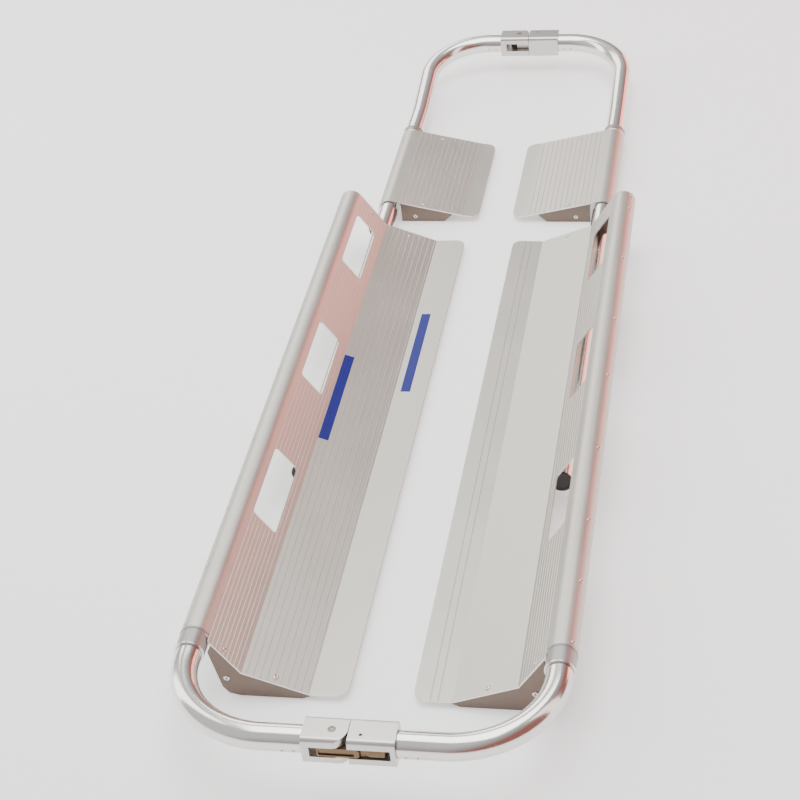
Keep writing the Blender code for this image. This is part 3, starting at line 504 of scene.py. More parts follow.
def main_tools(shape, side):
    corner_tools(shape, side, EDGE.x, MAIN_START, MAIN_END)
    window_tools(shape, side)
    start = (side * RAIL.x, MAIN_START - CURL_RADIUS, RAIL.y)
    end = (side * RAIL.x, collar_high.y + HAIR, RAIL.y)
    rod(shape, COLLAR_RADIUS + 2 * HAIR, start, end, 48)


def highlight_sawn_ends(panel):
    """Keeps the bends crisp and gives the sawn ends a brighter metal: raw cut aluminium and a
    painted highlight.
    """
    panel.data.set_sharp_from_angle(angle=math.radians(BEND_ANGLE))
    panel.data.materials.append(SAWN_HIGHLIGHT)
    # Faces that point along Y take the bright metal, a painted highlight on the sawn ends.
    for polygon in panel.data.polygons:
        if abs(polygon.normal.y) > HIGHLIGHT_FACING:
            polygon.material_index = 1


for half, side in SIDES.items():
    long_panel = object_from(half + "_long_panel", lambda shape: prism(
        shape, main_section(side), MAIN_START, MAIN_END, along_y(side)), PANEL)
    long_panel = cut(long_panel, lambda shape: main_tools(shape, side))
    highlight_sawn_ends(long_panel)
    finish_piece(long_panel, half + "_main", "panel", half + "_main_panel")
    short_panel = object_from(half + "_short_panel", lambda shape: prism(
        shape, leg_section(), LEG_START, LEG_END, along_y(side)), PANEL)
    short_panel = cut(short_panel, lambda shape: corner_tools(
        shape, side, LEG_EDGE.x, LEG_START, LEG_END))
    highlight_sawn_ends(short_panel)
    finish_piece(short_panel, half + "_leg", "panel", half + "_leg_panel")

# %% [markdown]
# ## Bent tubes
# A bender turns a straight tube round a die, so each handle is a straight run, a quarter
# circle and another straight run. Geometry Nodes sweep a circle along that path, which keeps
# the radius exact everywhere and lets one tree make all four tubes.

# %% Tube tree
BEND_STEPS = 28
HEAD_BEND = 0.105
FOOT_BEND = 0.095
FOOT_RISE = math.radians(8)
KINK_Y = LEG_END + 0.085
COUPLER_LENGTH = 0.097
LOCK_POSITIONS = 4
LOCK_HOLE_RADIUS = 0.0036
TAIL_Y = node_box("right_leg_tube")[0].y


def end_tree(tree, geometry, look):
    """Ends a tree with Realize Instances, then Set Material."""
    result = tree.nodes.new("NodeGroupOutput")
    real = tree.nodes.new("GeometryNodeRealizeInstances")
    paint = add_node(tree, "GeometryNodeSetMaterial", {"Material": look})
    link_all(tree, [(geometry, real.inputs["Geometry"]),
                    (real.outputs[0], paint.inputs["Geometry"]),
                    (paint.outputs[0], result.inputs["Geometry"])])


def tube_tree(look):
    """Sweeps a circle along a path and closes the ends."""
    tree = bpy.data.node_groups.new("swept_tube", "GeometryNodeTree")
    face = tree.interface
    sockets(face, "INPUT", "Geometry", "Geometry")
    sockets(face, "INPUT", "Float", "Radius")
    sockets(face, "INPUT", "Int", "Sides")
    sockets(face, "OUTPUT", "Geometry", "Geometry")
    given = tree.nodes.new("NodeGroupInput")
    path = tree.nodes.new("GeometryNodeMeshToCurve")
    ring = tree.nodes.new("GeometryNodeCurvePrimitiveCircle")
    sweep = add_node(tree, "GeometryNodeCurveToMesh", {"Fill Caps": True})
    smooth = tree.nodes.new("GeometryNodeSetShadeSmooth")
    link_all(tree, [
        (given.outputs["Geometry"], path.inputs["Mesh"]),
        (given.outputs["Radius"], ring.inputs["Radius"]),
        (given.outputs["Sides"], ring.inputs["Resolution"]),
        (path.outputs[0], sweep.inputs["Curve"]),
        (ring.outputs["Curve"], sweep.inputs["Profile Curve"]),
        (sweep.outputs[0], smooth.inputs["Geometry"]),
    ])
    end_tree(tree, smooth.outputs[0], look)
    return tree


def run_tree(holder, tree, **settings):
    """Runs a node tree on an object with named inputs and returns a plain mesh object."""
    modifier = holder.modifiers.new("nodes", "NODES")
    modifier.node_group = tree
    keys = {item.name: item.identifier for item in tree.interface.items_tree
            if item.item_type == "SOCKET" and item.in_out == "INPUT"}
    for name, value in settings.items():
        modifier[keys[name.replace("_", " ").title()]] = value
    return flatten(holder)


# %% Tubes
def path_object(name, points):
    mesh = bpy.data.meshes.new(name)
    mesh.from_pydata(points, [(i, i + 1) for i in range(len(points) - 1)], [])
    return placed(name, mesh)


def handle_points(side, x, z, start_y, end_y, bend, rise=0.0):
    """Straight along Y, round a corner, then along X to the coupling."""
    direction = 1 if end_y > start_y else -1
    flat = [Vector((x, start_y))]
    if rise:
        flat.append(Vector((x, KINK_Y)))
    flat += arc((x - bend, end_y - direction * bend), bend, 0, 90 * direction, BEND_STEPS)
    flat.append(Vector((COUPLER_LENGTH / 2 + HAIR, end_y)))
    return [(side * p.x, p.y, z + max(p.y - KINK_Y, 0) * math.tan(rise)) for p in flat]


def lock_hole_tools(shape, side):
    """Four blind holes in the leg tube for the locking plunger."""
    plunger = middle("right_lock_plunger")
    stroke = frame["joints"][0]["range_m"][1]
    for step in range(LOCK_POSITIONS):
        y = plunger.y - stroke * step / (LOCK_POSITIONS - 1)
        inside = (side * (LEG.x + TUBE_RADIUS - 2 * TUBE_WALL), y, LEG.y)
        rod(shape, LOCK_HOLE_RADIUS, inside, (side * (LEG.x + 2 * TUBE_RADIUS), y, LEG.y), 20)


TUBE_TREE = tube_tree(TUBE)
for half, side in SIDES.items():
    points = handle_points(side, RAIL.x, RAIL.y, MAIN_END - HAIR, HEAD.y, HEAD_BEND)
    rail = run_tree(path_object(half + "_rail", points), TUBE_TREE,
                    radius=TUBE_RADIUS, sides=56)
    finish_piece(rail, half + "_main", "tube", half + "_side_tube")
    points = handle_points(side, LEG.x, LEG.y, TAIL_Y, FOOT.y, FOOT_BEND, FOOT_RISE)
    runner = run_tree(path_object(half + "_runner", points), TUBE_TREE,
                      radius=TUBE_RADIUS, sides=56)
    runner = cut(runner, lambda shape: lock_hole_tools(shape, side))
    runner.data.shade_smooth()
    runner.data.set_sharp_from_angle(angle=math.radians(30))
    finish_piece(runner, half + "_leg", "tube", half + "_leg_tube")

# %% [markdown]
# ## End plates and guide blocks
# The end plates are bent from thick sheet and screwed under each panel. Their CAD shape is
# right, but a real sheet never has knife edges, so each one is copied, its loose triangles
# are merged back into flat faces, and its edges are rounded a little to catch the light.

# %% Plates with softened edges
MERGE = 0.00001
PLATE_SOFT = 0.0005


def refined_copy(name, node, width, look):
    """A merged copy of a CAD node with softened edges."""
    made = placed(name, frame["nodes"][node].data.copy())
    shape = bmesh.new()
    shape.from_mesh(made.data)
    bmesh.ops.remove_doubles(shape, verts=shape.verts, dist=MERGE)
    bmesh.ops.dissolve_limit(shape, angle_limit=math.radians(1), verts=shape.verts,
                             edges=shape.edges)
    shape.to_mesh(made.data)
    shape.free()
    made.data.materials.clear()
    made.data.materials.append(look)
    return soften(made, width)


for half in SIDES:
    for end in ("head", "foot"):
        plate = refined_copy(f"{half}_{end}_end_plate", f"{half}_{end}_plate", PLATE_SOFT, PLATE)
        finish_piece(plate, half + "_main", "plate", f"{half}_{end}_plate")
    for end in ("near", "far"):
        node = f"{half}_leg_{end}_plate"
        plate = refined_copy(f"{half}_{end}_leg_end", node, PLATE_SOFT, PLATE)
        finish_piece(plate, half + "_leg", "plate", node)
    saddle = refined_copy(half + "_nylon_saddle", half + "_guide_block", PLATE_SOFT, NYLON)
    finish_piece(saddle, half + "_main", "plastic", half + "_guide_block")

# %% [markdown]
# ## Turned pieces
# Collars, plugs, knobs and pins come off a lathe, so each is one profile spun about its axis.
# Every outer corner of a profile has a small chamfer, because a sharp turned edge would cut
# the hand that lifts the stretcher.

# %% Collars
CHAMFER = 0.0005
COLLAR_LIP = 0.0025
COLLAR_WAIST = 0.0006


def collar_profile(length):
    """A sleeve with a raised, chamfered lip at each end."""
    bore = TUBE_RADIUS + HAIR
    low = COLLAR_RADIUS - COLLAR_WAIST
    near = [(bore, 0), (COLLAR_RADIUS - CHAMFER, 0), (COLLAR_RADIUS, CHAMFER),
            (COLLAR_RADIUS, COLLAR_LIP - CHAMFER), (low, COLLAR_LIP)]
    far = [(radius, length - distance) for radius, distance in reversed(near)]
    return near + far


for half, side in SIDES.items():
    for label, axis, body in (("head", RAIL, "_main"), ("leg", LEG, "_leg")):
        node = f"{half}_{label}_collar"
        low, high = node_box(node)
        place = (side * axis.x, low.y, axis.y)
        ring = object_from(node.replace("collar", "sleeve"), lambda shape: turned(
            shape, collar_profile(high.y - low.y), place, (0, 1, 0), 64), COLLAR)
        # Only the near lip of each sleeve takes the bright sawn metal, a painted highlight on that
        # one end.
        ring.data.materials.append(SAWN_HIGHLIGHT)
        for polygon in ring.data.polygons:
            if polygon.center.y < low.y + COLLAR_LIP - CHAMFER:
                polygon.material_index = 1
        finish_piece(ring, half + body, "collar", node)

# %% Plugs, plungers and knobs
PLUG_FLANGE = 0.003
PLUG_CHAMFER = 0.001
PLUNGER_RADIUS = 0.003


def plug_profile():
    """The part of a plug that shows: a flange with a shallow dish."""
    rim = TUBE_RADIUS - PLUG_CHAMFER
    return [(0, -HAIR), (TUBE_RADIUS, -HAIR), (TUBE_RADIUS, -PLUG_FLANGE + PLUG_CHAMFER),
            (rim, -PLUG_FLANGE), (rim - 2 * PLUG_CHAMFER, -PLUG_FLANGE),
            (rim - 3 * PLUG_CHAMFER, -PLUG_FLANGE + PLUG_CHAMFER),
            (0, -PLUG_FLANGE + PLUG_CHAMFER)]


def knob_profile(radius, length):
    """A pull knob with a narrow waist, a round rim and a dished face."""
    waist = radius - 0.0015
    rim = [(radius - 0.001 + 0.001 * math.cos(angle), length - 0.001 + 0.001 * math.sin(angle))
           for angle in (0, math.pi / 6, math.pi / 3, math.pi / 2)]
    return ([(0, 0), (waist, 0), (waist, length / 3), (radius, length / 2)] + rim
            + [(radius / 2, length), (radius / 3, length - CHAMFER), (0, length - CHAMFER)])


def pin_profile(radius, length, chamfer):
    return [(0, 0), (radius - chamfer, 0), (radius, chamfer), (radius, length - chamfer),
            (radius - chamfer, length), (0, length)]


def nut_sides(shape, place, side):
    """The housing: a hexagon against the block, then a round neck."""
    low, high = node_box("right_lock_housing")
    length = high.x - low.x
    radius = (high.y - low.y) / 2
    bore = PLUNGER_RADIUS + HAIR
    turned(shape, [(bore, 0), (radius, 0), (radius, length / 2), (bore, length / 2)],
           place, (side, 0, 0), 6)
    neck = Vector(place) + Vector((side * (length / 2 + HAIR / 3), 0, 0))
    turned(shape, [(bore, 0), (radius * 0.8, 0), (radius * 0.8, length / 2 - CHAMFER),
                   (radius * 0.72, length / 2 - HAIR), (bore, length / 2 - HAIR)],
           neck, (side, 0, 0), 40)


knob_low, knob_high = node_box("right_lock_knob")
pin_low = node_box("right_lock_plunger")[0]
nut_low = node_box("right_lock_housing")[0]
lock_y = middle("right_lock_knob").y
for half, side in SIDES.items():
    for label, axis, y, inwards, body in (("rail", RAIL, MAIN_END - HAIR, -1, "_main"),
                                          ("tail", LEG, TAIL_Y, 1, "_leg")):
        node = f"{half}_{label}_plug"
        cap = object_from(node.replace("plug", "cap"), lambda shape: turned(
            shape, plug_profile(), (side * axis.x, y, axis.y), (0, inwards, 0)), NYLON)
        finish_piece(cap, half + body, "plastic", node)
    knob = object_from(half + "_pull_knob", lambda shape: turned(
        shape, knob_profile((knob_high.y - knob_low.y) / 2, knob_high.x - knob_low.x),
        (side * knob_low.x, lock_y, LEG.y), (side, 0, 0)), NYLON)
    finish_piece(knob, half + "_lock", "plastic", half + "_lock_knob")
    plunger = object_from(half + "_plunger", lambda shape: turned(
        shape, pin_profile(PLUNGER_RADIUS, knob_low.x - pin_low.x, CHAMFER),
        (side * pin_low.x, lock_y, LEG.y), (side, 0, 0)), STEEL)
    finish_piece(plunger, half + "_lock", "steel", half + "_lock_plunger")
    housing = object_from(half + "_plunger_nut", lambda shape: nut_sides(
        shape, (side * nut_low.x, lock_y, LEG.y), side), STEEL)
    finish_piece(housing, half + "_main", "steel", half + "_lock_housing")

# %% [markdown]
# ## Couplings
# Two blocks join the halves at each end. The left block is a fork that carries a pin. The
# right block ends in a tongue that hooks onto the pin, and a rocking latch holds it there.
# Each block is milled from square bar with rounded edges: one prism, then the same cuts as
# in the workshop, then a fine rounding of every edge.

# %% Coupling sizes
BLOCK_HALF = 0.0175
BLOCK_CORNER = 0.0055
SPLIT_X = -0.001
SPLIT_CLEAR = 0.0004
PIN_X = -0.018
PIN_RADIUS = 0.004
SLOT_HALF = 0.0065
SLOT_END_X = -0.0405
FINE = 0.0005
TONGUE_HALF = SLOT_HALF - FINE
TONGUE_HALF_WIDTH = 0.0085
TONGUE_TIP = 0.004
LATCH_TIP_X = -0.034
LATCH_END_X = 0.0375
LATCH_POCKET_END = 0.043
LATCH_PIVOT = Vector((0.0125, 0.0113))
LATCH_PIN_RADIUS = 0.0015
LATCH_BAR = 0.0055
LUG = 0.004
PIN_DEPTH = SPLIT_X - SPLIT_CLEAR - PIN_X
PIN_SPOT = Vector((PIN_X, PIN_DEPTH))
SLOT_SWING = math.hypot(PIN_X - SLOT_END_X, PIN_DEPTH)
FAR = 2 * BLOCK_HALF


class Coupling:
    """One coupling's place: depth is measured in from the face that holds the latch."""

    def __init__(self, spot, front):
        self.y, self.z, self.front = spot.y, spot.z, front

    def at_depth(self, depth):
        return self.y + self.front * (BLOCK_HALF - depth)

    def slab(self, shape, outline, half_height):
        flat = [(x, self.at_depth(depth)) for x, depth in outline]
        prism(shape, flat, self.z - half_height, self.z + half_height,
              lambda a, b, depth: (a, b, depth))

    def upright(self, shape, spot, radius, half_height):
        y = self.at_depth(spot[1])
        rod(shape, radius, (spot[0], y, self.z - half_height),
            (spot[0], y, self.z + half_height), 40)

    def block(self, shape, start_x, end_x):
        section = rounded_box(FAR, FAR, BLOCK_CORNER, 10)
        prism(shape, section, start_x, end_x, lambda a, b, x: (x, self.y + a, self.z + b))

    def facing(self, shape, outline, depth_start, depth_end):
        """An outline of (x, height) pushed in from the latch face."""
        prism(shape, outline, self.at_depth(depth_start), self.at_depth(depth_end),
              lambda a, b, y: (a, y, self.z + b))


# %% Fork and tongue blocks
def fork_shape(name, place):
    """Slot, rounded front corner and pin bore, cut from the left block."""
    made = object_from(name, lambda shape: place.block(
        shape, -COUPLER_LENGTH / 2, SPLIT_X - SPLIT_CLEAR), BLOCK)
    front = math.degrees(math.asin(PIN_DEPTH / SLOT_SWING))
    rear = math.degrees(math.asin((FAR - PIN_DEPTH) / SLOT_SWING))
    slot = [tuple(p) for p in arc(PIN_SPOT, SLOT_SWING, 180 + front, 180 - rear, 16)]
    slot += [(slot[-1][0], 2 * FAR), (FAR, 2 * FAR), (FAR, -FAR), (slot[0][0], -FAR)]
    swing = [tuple(p) for p in arc(PIN_SPOT, PIN_DEPTH, -90, 0, 24)]
    swing += [(FAR, PIN_DEPTH), (FAR, -FAR), (PIN_X, -FAR)]
    made = cut(made, lambda shape: place.slab(shape, slot, SLOT_HALF))
    made = cut(made, lambda shape: place.slab(shape, swing, FAR))
    made = cut(made, lambda shape: place.upright(shape, PIN_SPOT, PIN_RADIUS + HAIR, FAR))
    return soften(made, FINE)


def tongue_shape(name, place):
    """Tongue, jaw, latch pocket and pivot bore of the right block."""
    made = object_from(name, lambda shape: place.block(
        shape, SPLIT_X + SPLIT_CLEAR, COUPLER_LENGTH / 2), BLOCK)
    jaw = PIN_RADIUS + FINE
    front, rear = PIN_DEPTH - TONGUE_HALF_WIDTH, PIN_DEPTH + TONGUE_HALF_WIDTH
    tip, root = PIN_X - TONGUE_TIP, SPLIT_X + LUG
    tongue = [(root, front), (tip, front), (tip, PIN_DEPTH - jaw)]
    tongue += [tuple(p) for p in arc(PIN_SPOT, jaw, -90, 90, 20)]
    tongue += [(tip, PIN_DEPTH + jaw), (tip, rear), (root, rear)]
    made = cut(made, lambda shape: place.slab(shape, tongue, TONGUE_HALF), "UNION")
    arm_floor, pad_floor = front - FINE, FINE + 2 * LATCH_BAR
    lug_floor = LATCH_PIVOT.y + LUG + FINE
    room = 2 * LUG
    pocket = [(-FAR, -FAR), (-FAR, arm_floor), (LATCH_PIVOT.x - room, arm_floor)]
    pocket += [(LATCH_PIVOT.x - room, lug_floor), (LATCH_PIVOT.x + room, lug_floor)]
    pocket += [(LATCH_PIVOT.x + room, pad_floor), (LATCH_POCKET_END, pad_floor),
               (LATCH_POCKET_END, -FAR)]
    made = cut(made, lambda shape: place.slab(shape, pocket, SLOT_HALF))
    made = cut(made, lambda shape: place.upright(
        shape, LATCH_PIVOT, LATCH_PIN_RADIUS + HAIR, FAR))
    return soften(made, FINE)


# %% Latch lever
PAD_POINT = 0.0135
PAD_SHOULDER = 0.0205
PAD_STEP = 0.0022
NOSE_GAP = 0.0006


def latch_shape(name, place):
    """A bar with a sunk panel, a notch at the pivot and a faceted thumb pad."""
    face, back = FINE, FINE + LATCH_BAR
    low = face + PAD_STEP
    nose = PIN_DEPTH - PIN_RADIUS - NOSE_GAP
    outline = [(LATCH_TIP_X + 0.001, face), (LATCH_TIP_X, face + 0.001)]
    outline += [(LATCH_TIP_X, nose), (LATCH_TIP_X + 0.005, nose), (LATCH_TIP_X + 0.005, back)]
    outline += [(LATCH_PIVOT.x - LUG, back)]
    outline += [tuple(p) for p in arc(LATCH_PIVOT, LUG, 180, 0, 24)]
    outline += [(LATCH_PIVOT.x + LUG, back), (LATCH_END_X, back), (LATCH_END_X, low)]
    outline += [(PAD_POINT - 0.001, low), (PAD_POINT - 0.0025, face)]
    made = object_from(name, lambda shape: place.slab(shape, outline, TONGUE_HALF), LATCH)
    panel_mid = (LATCH_TIP_X + 0.003 + LATCH_PIVOT.x - 0.007) / 2
    panel = [(a + panel_mid, b) for a, b in rounded_box(0.0365, 0.0075, 0.001, 4)]
    made = cut(made, lambda shape: place.facing(shape, panel, -FINE, face + 0.0016))
    for up in (-1, 1):
        notch = [(LATCH_PIVOT.x - 0.0055, up * 0.008), (LATCH_PIVOT.x - 0.0015, up * 0.0035),
                 (LATCH_PIVOT.x + 0.0015, up * 0.008)]
        made = cut(made, lambda shape: place.facing(shape, notch, -FINE, face + 0.0030))
    made = cut(made, lambda shape: pad_facets(shape, place, low), "UNION")
    made = cut(made, lambda shape: place.upright(
        shape, LATCH_PIVOT, LATCH_PIN_RADIUS + HAIR, FAR))
    return soften(made, 0.0003)


def pad_facets(shape, place, low):
    """The thumb pad: a flat top, sloping sides and a point towards the bar."""
    half = TONGUE_HALF - HAIR
    base = [(PAD_POINT, 0), (PAD_SHOULDER, half), (LATCH_END_X - HAIR, half),
            (LATCH_END_X - HAIR, -half), (PAD_SHOULDER, -half)]
    top = [(PAD_SHOULDER - 0.001, 0), (PAD_SHOULDER + 0.002, half * 0.45),
           (LATCH_END_X - 0.003, half * 0.45), (LATCH_END_X - 0.003, -half * 0.45),
           (PAD_SHOULDER + 0.002, -half * 0.45)]
    rings = [[shape.verts.new((x, place.at_depth(depth), place.z + height))
              for x, height in outline]
             for outline, depth in ((base, low + 0.0005), (base, low), (top, FINE))]
    shape.faces.new(rings[0])
    shape.faces.new(rings[-1])
    for first, second in zip(rings, rings[1:]):
        for index in range(len(first)):
            after = (index + 1) % len(first)
            shape.faces.new((first[index], first[after], second[after], second[index]))


# %% Pins and springs
SPRING_X = 0.031
SPRING_RADIUS = 0.0021
SPRING_WIRE = 0.0004


def crowned_pin(shape, place, spot, radius, half_height):
    """An upright pin with a turned ring in its top face."""
    length = 2 * half_height
    profile = [(0, 0), (radius - HAIR, 0), (radius, HAIR), (radius, length - HAIR),
               (radius - HAIR, length), (radius * 0.72, length), (radius * 0.66, length - FINE),
               (radius * 0.56, length - FINE), (radius * 0.5, length), (0, length)]
    turned(shape, profile, (spot[0], place.at_depth(spot[1]), place.z - half_height), (0, 0, 1))


def spring_path(place):
    """A coil from the pocket's floor to the back of the thumb pad."""
    start = FINE + LATCH_BAR + HAIR + SPRING_WIRE
    length = LATCH_BAR - 2 * (HAIR + SPRING_WIRE)
    steps = 24 * 4
    return [(SPRING_X + SPRING_RADIUS * math.cos(math.tau * step / 24),
             place.at_depth(start + length * step / steps),
             place.z + SPRING_RADIUS * math.sin(math.tau * step / 24))
            for step in range(steps + 1)]


SPRING_TREE = tube_tree(STEEL)
for end, spot, front, left, right in (
        ("head", HEAD, -1, "left_main", "right_main"),
        ("foot", FOOT, 1, "left_leg", "right_leg")):
    place = Coupling(spot, front)
    finish_piece(fork_shape(end + "_fork", place), left, "block", end + "_fork_block")
    finish_piece(tongue_shape(end + "_tongue", place), right, "block", end + "_tongue_block")
    finish_piece(latch_shape(end + "_latch_bar", place), end + "_latch", "latch",
                 end + "_latch_lever")
    pin = object_from(end + "_hook_pin", lambda shape: crowned_pin(
        shape, place, PIN_SPOT, PIN_RADIUS, BLOCK_HALF - HAIR), HOOK)
    finish_piece(pin, left, "steel", end + "_coupling_pin")
    pivot = object_from(end + "_pivot_pin", lambda shape: crowned_pin(
        shape, place, LATCH_PIVOT, LATCH_PIN_RADIUS, BLOCK_HALF - 0.002), STEEL)
    finish_piece(pivot, right, "steel", end + "_latch_pin")
    coil = run_tree(path_object(end + "_coil", spring_path(place)), SPRING_TREE,
                    radius=SPRING_WIRE, sides=10)
    finish_piece(coil, right, "steel", end + "_latch_spring")

# %% [markdown]
# ## Blind rivets
# Blind rivets hold the curl to the rail and the panels to their plates. Each has a domed
# flange and, in its middle, the broken end of the mandrel that pulled it tight, in dark steel
# that also paints the shade down the rivet's hole. One rivet is drawn once, and a Geometry
# Nodes tree sets a copy on every point of a list, turned to face away from the metal under it.

# %% Rivet tree
RIVET_RADIUS = 0.0034
RIVET_HEIGHT = 0.0014


def rivet_dome(shape):
    """A domed flange with a hole down its middle."""
    hole = RIVET_RADIUS * 0.32
    profile = [(hole, -HAIR), (RIVET_RADIUS, -HAIR), (RIVET_RADIUS, HAIR)]
    for step in range(1, 6):
        angle = math.pi / 2 * step / 6
        profile.append((hole + (RIVET_RADIUS - hole) * math.cos(angle),
                        HAIR + (RIVET_HEIGHT - HAIR) * math.sin(angle)))
    profile.append((hole, RIVET_HEIGHT - HAIR))
    turned(shape, profile, (0, 0, 0), (0, 0, 1), 18)


def shaded_rivet_core(shape):
    """The mandrel's broken end, just below the flange, dark so that it also paints the shade in the
    hole.
    """
    hole = RIVET_RADIUS * 0.30
    profile = [(0, -HAIR), (hole, -HAIR), (hole, RIVET_HEIGHT * 0.35),
               (hole * 0.5, RIVET_HEIGHT * 0.55), (0, RIVET_HEIGHT * 0.5)]
    turned(shape, profile, (0, 0, 0), (0, 0, 1), 12)


def scatter_tree(name, look):
    """Sets a copy of one object on every point, turned and scaled by the points' attributes."""
    tree = bpy.data.node_groups.new(name, "GeometryNodeTree")
    face = tree.interface
    sockets(face, "INPUT", "Geometry", "Geometry")
    sockets(face, "INPUT", "Object", "Part")
    face.new_socket("Size", in_out="INPUT", socket_type="NodeSocketFloat").default_value = 1.0
    sockets(face, "OUTPUT", "Geometry", "Geometry")
    given = tree.nodes.new("NodeGroupInput")
    part = tree.nodes.new("GeometryNodeObjectInfo")
    facing = add_node(tree, "GeometryNodeInputNamedAttribute", data_type="FLOAT_VECTOR")
    facing.inputs["Name"].default_value = "facing"
    share = add_node(tree, "GeometryNodeInputNamedAttribute", data_type="FLOAT")
    share.inputs["Name"].default_value = "share"
    scale = add_node(tree, "ShaderNodeMath", operation="MULTIPLY")
    aim = add_node(tree, "FunctionNodeAlignRotationToVector", axis="Z")
    copies = tree.nodes.new("GeometryNodeInstanceOnPoints")
    link_all(tree, [
        (given.outputs["Geometry"], copies.inputs["Points"]),
        (given.outputs["Part"], part.inputs["Object"]),
        (part.outputs["Geometry"], copies.inputs["Instance"]),
        (facing.outputs["Attribute"], aim.inputs["Vector"]),
        (aim.outputs["Rotation"], copies.inputs["Rotation"]),
        (share.outputs["Attribute"], scale.inputs[0]),
        (given.outputs["Size"], scale.inputs[1]),
        (scale.outputs[0], copies.inputs["Scale"]),
    ])
    end_tree(tree, copies.outputs[0], look)
    return tree


# %% Rivet places
RAIL_RIVETS = [0.017, 0.112, 0.214, 0.346, 0.493, 0.618, 0.766, 0.896]
PANEL_RIVET_X = 0.117
WEB_RIVET = 0.030
CORNER_RIVET = WEB_LENGTH + 0.001
LEG_RIVET_X = 0.109
END_RIVET = 0.010
COUPLER_RIVETS = [0.058, 0.070]
COUPLER_RIVET_ANGLE = -160
COUPLER_RIVET_SIZE = 0.5


def on_slope(start, end, x):
    """The point above x on the line between two section points, and its upward normal."""
    reach = end - start
    spot = start + reach * (x - start.x) / reach.x
    return spot, Vector((-reach.y, reach.x)).normalized()


def coupler_rivets(side, y, z):
    """Two small rivets low on the tube beside a coupling."""
    low = math.radians(COUPLER_RIVET_ANGLE)
    outward = Vector((0, math.cos(low), math.sin(low)))
    return [(Vector((side * x, y, z)) + outward * TUBE_RADIUS, outward, COUPLER_RIVET_SIZE)
            for x in COUPLER_RIVETS]


def main_rivets(side):
    """Places, directions and sizes of the rivets on one long section."""
    found = []
    for y in RAIL_RIVETS + ([0.930] if side > 0 else []):
        spot = along(RAIL, math.radians(47), CURL_RADIUS)
        found.append((spot, MAIN_START + y, spot - RAIL, 0.85))
    blade, blade_up = on_slope(BREAK, FOLD, PANEL_RIVET_X)
    web_up = Vector((-math.sin(WEB_SLOPE), math.cos(WEB_SLOPE)))
    for y in (MAIN_START + END_RIVET, MAIN_END - END_RIVET):
        found.append((blade, y, blade_up, 1.0))
        found.append((along(FOLD, WEB_SLOPE, WEB_RIVET), y, web_up, 1.0))
    found.append((along(FOLD, WEB_SLOPE, CORNER_RIVET - 0.004), MAIN_START + 0.006,
                  web_up, 0.6))
    rivets = [((side * s.x, y, s.y), (side * n.x, 0, n.y), size) for s, y, n, size in found]
    face = MAIN_START + 0.0008
    rivets.append(((side * 0.170, face, 0.026), (0, -1, 0), 1.1))
    return rivets + coupler_rivets(side, HEAD.y, RAIL.y)


def leg_rivets(side):
    blade, up = on_slope(LEG_BREAK, along(LEG_BREAK, LEG_SLOPE, 0.1), LEG_RIVET_X)
    rivets = []
    for y in (LEG_START + END_RIVET, LEG_END - END_RIVET):
        rivets.append(((side * blade.x, y, blade.y), (side * up.x, 0, up.y), 1.0))
    rivets.append(((side * 0.122, LEG_START + 0.0008, 0.009), (0, -1, 0), 1.0))
    return rivets + coupler_rivets(side, FOOT.y, FOOT.z)


def rivet_points(name, rivets):
    mesh = bpy.data.meshes.new(name)
    mesh.from_pydata([tuple(spot) for spot, _, _ in rivets], [], [])
    mesh.attributes.new("facing", "FLOAT_VECTOR", "POINT")
    mesh.attributes.new("share", "FLOAT", "POINT")
    for index, (_, outward, size) in enumerate(rivets):
        mesh.attributes["facing"].data[index].vector = Vector(outward).normalized()
        mesh.attributes["share"].data[index].value = size
    return placed(name, mesh)


# %% Set the rivets
# The mandrel metal is steel, made darker still as painted shade in the rivet holes.
MANDREL_SHADE = metal("mandrel_steel", (0.16, 0.14, 0.13), (0.08, 0.07, 0.065), 0.45,
                fineness=1500.0, stretch=1.0, streak=0.1, mottle=0.1, grain_depth=0.05)
dome = object_from("one_dome", rivet_dome)
core = object_from("one_core", shaded_rivet_core)
for label, part, look in (("rivets", dome, STEEL), ("mandrels", core, MANDREL_SHADE)):
    tree = scatter_tree("set_" + label, look)
    for half, side in SIDES.items():
        for body, rivets in (("_main", main_rivets(side)), ("_leg", leg_rivets(side))):
            points = rivet_points(half + body + "_" + label, rivets)
            made = run_tree(points, tree, part=part, size=1.0)
            made.data.set_sharp_from_angle(angle=math.radians(40))
            for name in ("facing", "share"):
                if name in made.data.attributes:
                    made.data.attributes.remove(made.data.attributes[name])
            finish_piece(made, half + body, "steel")
drop(dome)
drop(core)

# %% [markdown]
# ## Coloured bars
# Two blue vinyl bars mark the left blade. They are thin film that follows the ribs, so each
# is a strip a tenth of a millimetre thick whose outline repeats the panel's own section.

# %% Vinyl
FILM = 0.00012
VINYL = metal("blue_vinyl", (0.016, 0.020, 0.22), (0.010, 0.012, 0.16), 0.42, 0.0,
              fineness=600.0, stretch=0.05, grain_depth=0.08)
VINYL.node_tree.nodes["Principled BSDF"].inputs["Specular IOR Level"].default_value = 0.2


def film_strip(start, end, inner_x, outer_x, ribs):
    """Outline of a film that follows the panel's ribs between two distances from the middle."""
    inner, up = on_slope(start, end, inner_x)
    outer, up = on_slope(start, end, outer_x)
    over = [inner] + [point for point in ribs if inner_x < point.x < outer_x] + [outer]
    return [p + up * FILM / 4 for p in over] + [p + up * FILM for p in reversed(over)]


